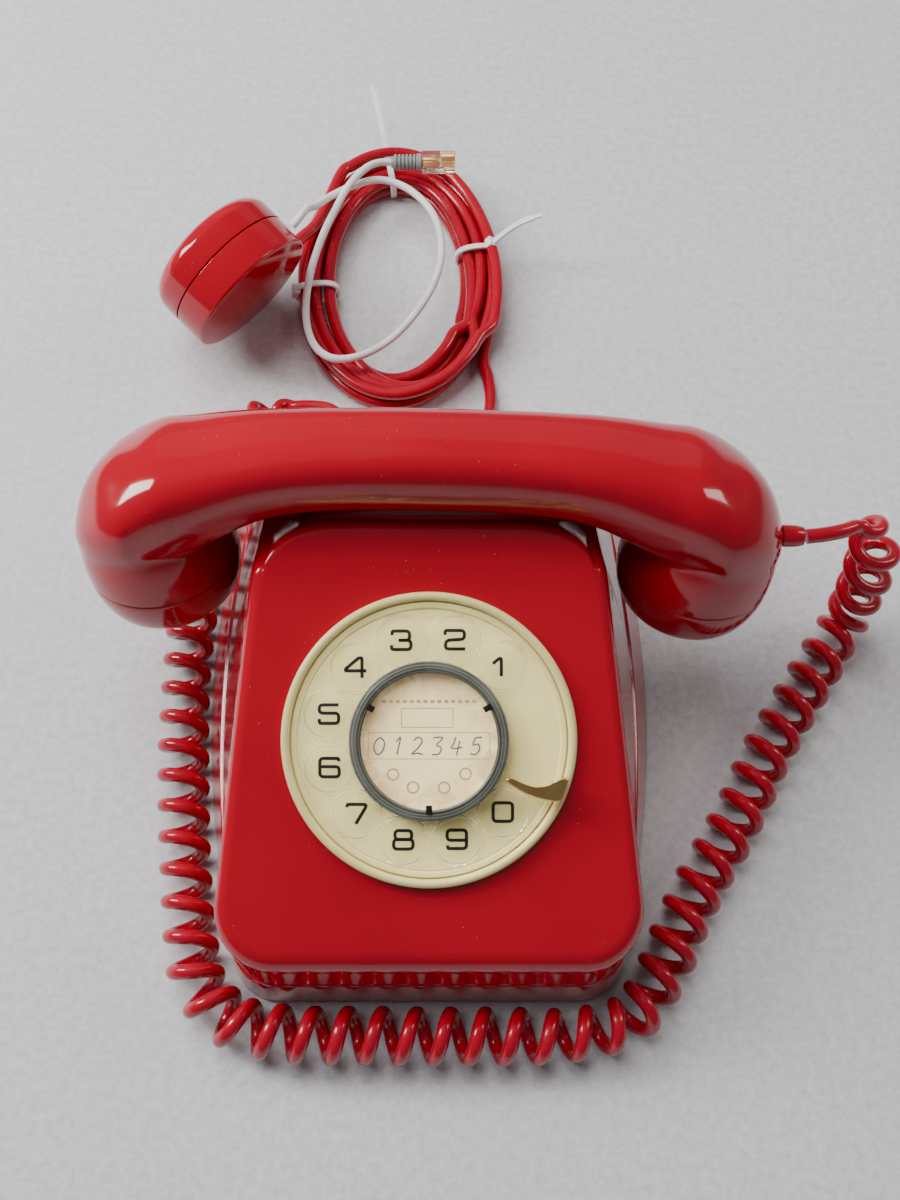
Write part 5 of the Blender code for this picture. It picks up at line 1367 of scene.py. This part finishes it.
class TELEPHONE_OT_line_cord(bpy.types.Operator):
    """Adds the line cord: out of the case's rear, wound in a coil, and on to the wall box"""

    bl_idname = "telephone.line_cord"
    bl_label = "Line Cord"

    def execute(self, context):
        turns = 6.44
        wound = [coil_point(turns * k / 300) for k in range(301)]
        points = evenly(metres(LINE_ROUTE) + wound[2:] + metres(LINE_END), 1.6 * MM)
        cord = curve_tube("line_lead", points, sizes().cord.line_wire / 2, 5)
        dress(cord, "cord")
        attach(cord, "body")
        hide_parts("line_cord", "line_cord_coil")
        return {"FINISHED"}


class TELEPHONE_OT_white_lead(bpy.types.Operator):
    """Adds the white lead from the wall box, once round the coil, to the plug"""

    bl_idname = "telephone.white_lead"
    bl_label = "White Lead"

    def execute(self, context):
        points = evenly(metres(WHITE_ROUTE), 2 * MM)
        lead = curve_tube("white_lead", points, sizes().cord.white_wire / 2, 4)
        dress(lead, "white")
        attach(lead, "body")
        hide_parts("wall_lead")
        return {"FINISHED"}


# ------------------------------------------------------------------ wall box, plug and ties
BOX_PLACE = along(Vector((-0.70, 0.647, 0.302)).normalized(), Vector((-77.5, 168, 31.5)) * MM)
PLUG_LYING = Matrix(((0, 0, 1, 0), (0, 1, 0, 0), (-1, 0, 0, 0), (0, 0, 0, 1)))
PLUG_PLACE = Matrix.Translation(Vector((-15.2, 232.8, 19.3)) * MM) @ PLUG_LYING


class TELEPHONE_OT_wall_box(bpy.types.Operator):
    """Adds the round wall box: its base, its domed cover and the screw that holds them together"""

    bl_idname = "telephone.wall_box"
    bl_label = "Wall Box"

    def execute(self, context):
        r, back, seam, front = 27.5, -14.25, -1.25, 14.25
        corners = mm((0, back, 0), (r - 0.3, back, 1.2), (r, seam - 0.5, 0.4))
        corners += mm((r - 0.7, seam, 0), (0, seam, 0))
        base = turned("box_base", rounded_profile(corners), 112, BOX_PLACE)
        smooth(base, 36)
        fit(base, "body", "red", "wall_box_base")
        rows = [(r - 0.5, seam + 0.15), (r, seam + 0.6), (r, front - 8.2), (r - 0.4, front - 6.2)]
        rows += [(r - 1.5, front - 4.2), (r - 3.3, front - 2.6), (r - 6.5, front - 1.4)]
        rows += [(r - 12, front - 0.5), (0.05, front)]
        fine = [(p.x, p.z) for p in evenly([(x, 0, z) for x, z in rows], 0.7)]
        cover = turned("box_cover", mm((0, seam + 0.15), *fine[:-1], (0, front)), 112)
        cut(cover, cylinder_cutter(2.3 * MM, (front - 3.5) * MM, (front + 5) * MM, Matrix.Identity(4)))
        place_in_mesh(cover, BOX_PLACE)
        smooth(cover, 36)
        fit(cover, "body", "red", "wall_box_cover")
        head = mm((0, front - 3.4, 0), (1.9, front - 3.4, 0), (1.9, front + 0.2, 0.4), (0, front + 0.5, 0))
        screw = turned("box_screw", rounded_profile(head), 36)
        cut(screw, block("slot", *mm((-3, -0.28, front - 0.5), (3, 0.28, front + 2))))
        place_in_mesh(screw, BOX_PLACE)
        smooth(screw, 36)
        fit(screw, "body", "dark_steel", "wall_box_screw")
        return {"FINISHED"}


class TELEPHONE_OT_plug(bpy.types.Operator):
    """Adds the modular plug: a ribbed boot, a clear block with a latch, and gilt contacts"""

    bl_idname = "telephone.plug"
    bl_label = "Plug"

    def execute(self, context):
        profile = [(0, -0.5), (1.9, -0.5), (2.4, 0.4)]
        for k in range(6):
            low = 0.8 + 1.55 * k
            profile += [(2.5, low), (3.15, low + 0.15), (3.2, low + 0.95), (2.5, low + 1.1)]
        profile += [(3.4, 10.2), (3.5, 11.9), (0, 12.0)]
        sleeve = turned("plug_sleeve", mm(*profile), 40, PLUG_PLACE)
        smooth(sleeve, 36)
        fit(sleeve, "body", "grey_rubber", "plug_boot")
        low, high = 12.2, 26
        contacts = [-1.9 + 1.27 * k for k in range(4)]
        body = block("plug_block", *mm((-4.2, -2.6, low), (4.2, 2.6, high)), 0.45 * MM, 2)
        for x in contacts:
            cut(body, block("slit", *mm((x - 0.32, 1.4, high - 6.2), (x + 0.32, 3.4, high + 1))))
        latch = block("latch", *mm((-1.4, -5.0, low + 2.2), (1.4, -4.2, high - 3.4)), 0.25 * MM, 2)
        root = block("root", *mm((-1.4, -4.9, high - 5.0), (1.4, -2.2, high - 3.6)), 0.2 * MM, 2)
        block_all = join([body, latch, root])
        place_in_mesh(block_all, PLUG_PLACE)
        smooth(block_all, 36)
        fit(block_all, "body", "clear", "plug_body")
        block_all.visible_shadow = False
        pins = []
        for x in contacts:
            corners = mm((x - 0.2, 0.2, high - 5.8), (x + 0.2, 2.3, high - 0.6))
            pins.append(block("pin", *corners, 0.05 * MM, 1))
        core = block("core", *mm((-1.7, -0.8, low + 0.4), (1.7, 0.5, high - 6.6)), 0.4 * MM, 2)
        wires = join(pins + [core])
        wires.name = "plug_pins"
        place_in_mesh(wires, PLUG_PLACE)
        smooth(wires, 36)
        fit(wires, "body", "gilt")
        return {"FINISHED"}


# Each tie: its node, where it lies round the coil and how far up its head sits, in degrees, and its loose
# end's reach and rise in millimetres.
TIES = (("tie_top", 97, 50, (36, 4)), ("tie_left", 188, 12, None), ("tie_right", 12, 50, (20, 14)))


def cable_tie(node, degrees, lift, tail):
    """A tie round the coil: a strap, the head that locks it, and the strap's loose end."""
    a = math.radians(degrees)
    at = COIL_CENTRE + Vector((COIL_HALF_WIDTH * math.cos(a), COIL_HALF_LENGTH * math.sin(a), 0))
    way = Vector((-COIL_HALF_WIDTH * math.sin(a), COIL_HALF_LENGTH * math.cos(a), 0)).normalized()
    out = Vector((math.cos(a) / COIL_HALF_WIDTH, math.sin(a) / COIL_HALF_LENGTH, 0)).normalized()
    middle = Vector((at.x, at.y, 5.9 * MM))
    turns = [math.tau * k / 48 for k in range(48)]
    rings = []
    for b in turns:
        c, s = math.cos(b), math.sin(b)
        spoke = out * (math.copysign(abs(c) ** 0.75, c) * 8.3 * MM)
        spoke += Vector((0, 0, math.copysign(abs(s) ** 0.75, s) * 5.5 * MM))
        skin = spoke.normalized() * 0.5 * MM
        low, high = middle + spoke, middle + spoke + skin * 1.8
        inner, outer = way * 1.25 * MM, way * 1.1 * MM
        rings.append([low - inner, low + inner, high + outer, high - outer])
    strap = [p for ring in rings for p in ring]
    parts = [surface(f"{node}_strap", strap, bands(len(rings), 4, True))]
    b = math.radians(lift)
    head_at = middle + out * (math.cos(b) * 8.6 * MM) + Vector((0, 0, math.sin(b) * 8.4 * MM))
    face = (out * math.cos(b) + Vector((0, 0, math.sin(b)))).normalized()
    head_turn = Matrix((way.cross(face), way, face)).transposed().to_4x4()
    head_place = Matrix.Translation(head_at) @ head_turn
    corners = mm((-2.3, -2.2, -1.4), (2.3, 2.2, 1.9))
    parts.append(block(f"{node}_head", *corners, 0.5 * MM, 2, head_place))
    if tail:
        reach, rise = tail
        line = []
        for t in (0, 0.2, 0.4, 0.6, 0.8, 1.0):
            arched = rise * t + 3.0 * math.sin(math.pi * t)
            line.append(head_at + out * (reach * t * MM) + Vector((0, 0, arched * MM)))
        path = evenly(line, 1.5 * MM)
        rings = []
        for i, (point, (tangent, _, _)) in enumerate(zip(path, transported(path))):
            up = tangent.cross(way).normalized() * 0.42 * MM
            half = way * (1.2 if i < len(path) - 3 else 0.8) * MM
            rings.append([point - half - up, point + half - up, point + half + up, point - half + up])
        parts.append(lofted(f"{node}_end", rings))
    tie = join(parts)
    tie.name = f"{node}_loop"
    smooth(tie, 40)
    fit(tie, "body", "nylon", node)


class TELEPHONE_OT_cable_ties(bpy.types.Operator):
    """Adds the three nylon ties that hold the coil together"""

    bl_idname = "telephone.cable_ties"
    bl_label = "Cable Ties"

    def execute(self, context):
        for node, degrees, lift, tail in TIES:
            cable_tie(node, degrees, lift, tail)
        return {"FINISHED"}


# ------------------------------------------------------------------ works that keep their frame shapes
WORKS = {
    "cord": ("line_cord_grommet", "handset_cord_grommet"),
    "red": ("plunger_left", "plunger_right"),
    "rubber": ("foot_front_left", "foot_front_right", "foot_rear_left", "foot_rear_right"),
    "black": ("base_plate", "pulse_contacts", "hook_contacts", "terminal_block"),
    "brass": ("main_gear", "governor_pinion", "governor_weights", "gong_left", "gong_right"),
    "steel": (
        "base_screw_front_left", "base_screw_front_right", "base_screw_rear_left", "base_screw_rear_right",
        "dial_shaft", "dial_frame", "governor_drum", "return_spring", "hook_lever", "hook_bracket",
        "ringer_frame", "clapper", "induction_coil", "receiver_capsule", "transmitter_capsule",
    ),
    "bakelite": ("capacitor",),
    "board": ("circuit_board",),
    "copper": ("ringer_coil",),
}


class TELEPHONE_OT_works(bpy.types.Operator):
    """Dresses the feet, the base and the works inside the case"""

    bl_idname = "telephone.works"
    bl_label = "Works"

    def execute(self, context):
        for finish, nodes in WORKS.items():
            for node in nodes:
                dress(frame["nodes"][node], finish)
        return {"FINISHED"}


# ------------------------------------------------------------------ stage
def floor_material():
    paint = Paint("floor_matt", (0.60, 0.605, 0.62), 0.75, Specular_IOR_Level=0.25)
    grain = paint.noise(340.0, 4.0, 0.7)
    clouds = paint.noise(7.0, 5.0, 0.65)
    tone = paint.mix(paint.remap(grain, 0.3, 0.72, 0.0, 1.0), (0.50, 0.505, 0.525), (0.72, 0.72, 0.73))
    paint.link(paint.mix(paint.remap(clouds, 0.3, 0.75, 0.0, 0.45), tone, (0.56, 0.565, 0.60)), "Base Color")
    paint.bump(grain, 0.0006, 0.35)
    return paint.material


def window(name, location, aim, size, power, tint):
    """A soft rectangular light that faces a point."""
    deselect()
    bpy.ops.object.light_add(type="AREA", location=location)
    lamp = bpy.context.object
    lamp.name = name
    lamp.data.shape = "RECTANGLE"
    lamp.data.size, lamp.data.size_y = size
    lamp.data.energy = power
    lamp.data.color = tint
    lamp.rotation_euler = (Vector(aim) - Vector(location)).to_track_quat("-Z", "Y").to_euler()
    return lamp


class TELEPHONE_OT_stage(bpy.types.Operator):
    """Adds a pale floor, soft window light and the camera"""

    bl_idname = "telephone.stage"
    bl_label = "Studio"

    def execute(self, context):
        deselect()
        bpy.ops.mesh.primitive_plane_add(size=6, location=(0, 0, 0))
        floor = named("floor")
        floor.data.materials.append(floor_material())
        window("window_left", (-0.85, 0.28, 0.62), (-0.02, 0.02, 0.06), (0.22, 0.55), 9.0, (1.0, 0.98, 0.95))
        window("window_right", (0.75, 0.28, 0.6), (0.05, 0.02, 0.06), (0.16, 0.4), 1.6, (1.0, 0.88, 0.78))
        window("pale_wall", (0.0, 1.7, 0.9), (0, 0.05, 0.05), (2.6, 0.8), 0.9, (1.0, 0.97, 0.98))
        fill = window("fill", (-0.5, 0.6, 1.4), (-0.03, 0.03, 0), (1.3, 1.3), 32.0, (1.0, 0.99, 0.98))
        fill.visible_glossy = False
        world = bpy.data.worlds.new("room")
        world.use_nodes = True
        world.node_tree.nodes["Background"].inputs["Color"].default_value = (0.70, 0.71, 0.74, 1.0)
        world.node_tree.nodes["Background"].inputs["Strength"].default_value = 0.22
        context.scene.world = world
        bpy.ops.object.camera_add(location=(0, -0.159, 0.4306), rotation=(math.radians(25), 0, 0))
        camera = bpy.context.object
        camera.data.lens = 39.0
        camera.data.sensor_width = 36.0
        camera.data.shift_x = 0.0175
        camera.data.clip_start = 0.01
        context.scene.camera = camera
        return {"FINISHED"}


# ------------------------------------------------------------------ panel and registration
PIECES = (
    TELEPHONE_OT_wall_box,
    TELEPHONE_OT_plug,
    TELEPHONE_OT_curly_cord,
    TELEPHONE_OT_line_cord,
    TELEPHONE_OT_white_lead,
    TELEPHONE_OT_case,
    TELEPHONE_OT_dial_plate,
    TELEPHONE_OT_numerals,
    TELEPHONE_OT_finger_wheel,
    TELEPHONE_OT_dial_centre,
    TELEPHONE_OT_finger_stop,
    TELEPHONE_OT_handset,
    TELEPHONE_OT_caps,
    TELEPHONE_OT_cable_ties,
    TELEPHONE_OT_works,
    TELEPHONE_OT_stage,
)


class TELEPHONE_PT_panel(bpy.types.Panel):
    """Lists one button for each group of the telephone's pieces"""

    bl_idname = "TELEPHONE_PT_panel"
    bl_label = "Rotary Telephone"
    bl_space_type = "VIEW_3D"
    bl_region_type = "UI"
    bl_category = "Telephone"

    def draw(self, context):
        for piece in PIECES:
            self.layout.operator(piece.bl_idname)


GROUPS = (CaseSizes, DialSizes, HandsetSizes, CordSizes, Finishes, TelephoneSettings)
CLASSES = (*GROUPS, *PIECES, TELEPHONE_PT_panel)


def register():
    for made in CLASSES:
        bpy.utils.register_class(made)
    bpy.types.Scene.telephone = PointerProperty(
        name="Telephone", description="Sizes and colours of the telephone", type=TelephoneSettings
    )


def unregister():
    del bpy.types.Scene.telephone
    for made in reversed(CLASSES):
        bpy.utils.unregister_class(made)


def main():
    register()
    for piece in PIECES:
        getattr(bpy.ops.telephone, piece.bl_idname.split(".")[1])()


if __name__ == "__main__":
    main()
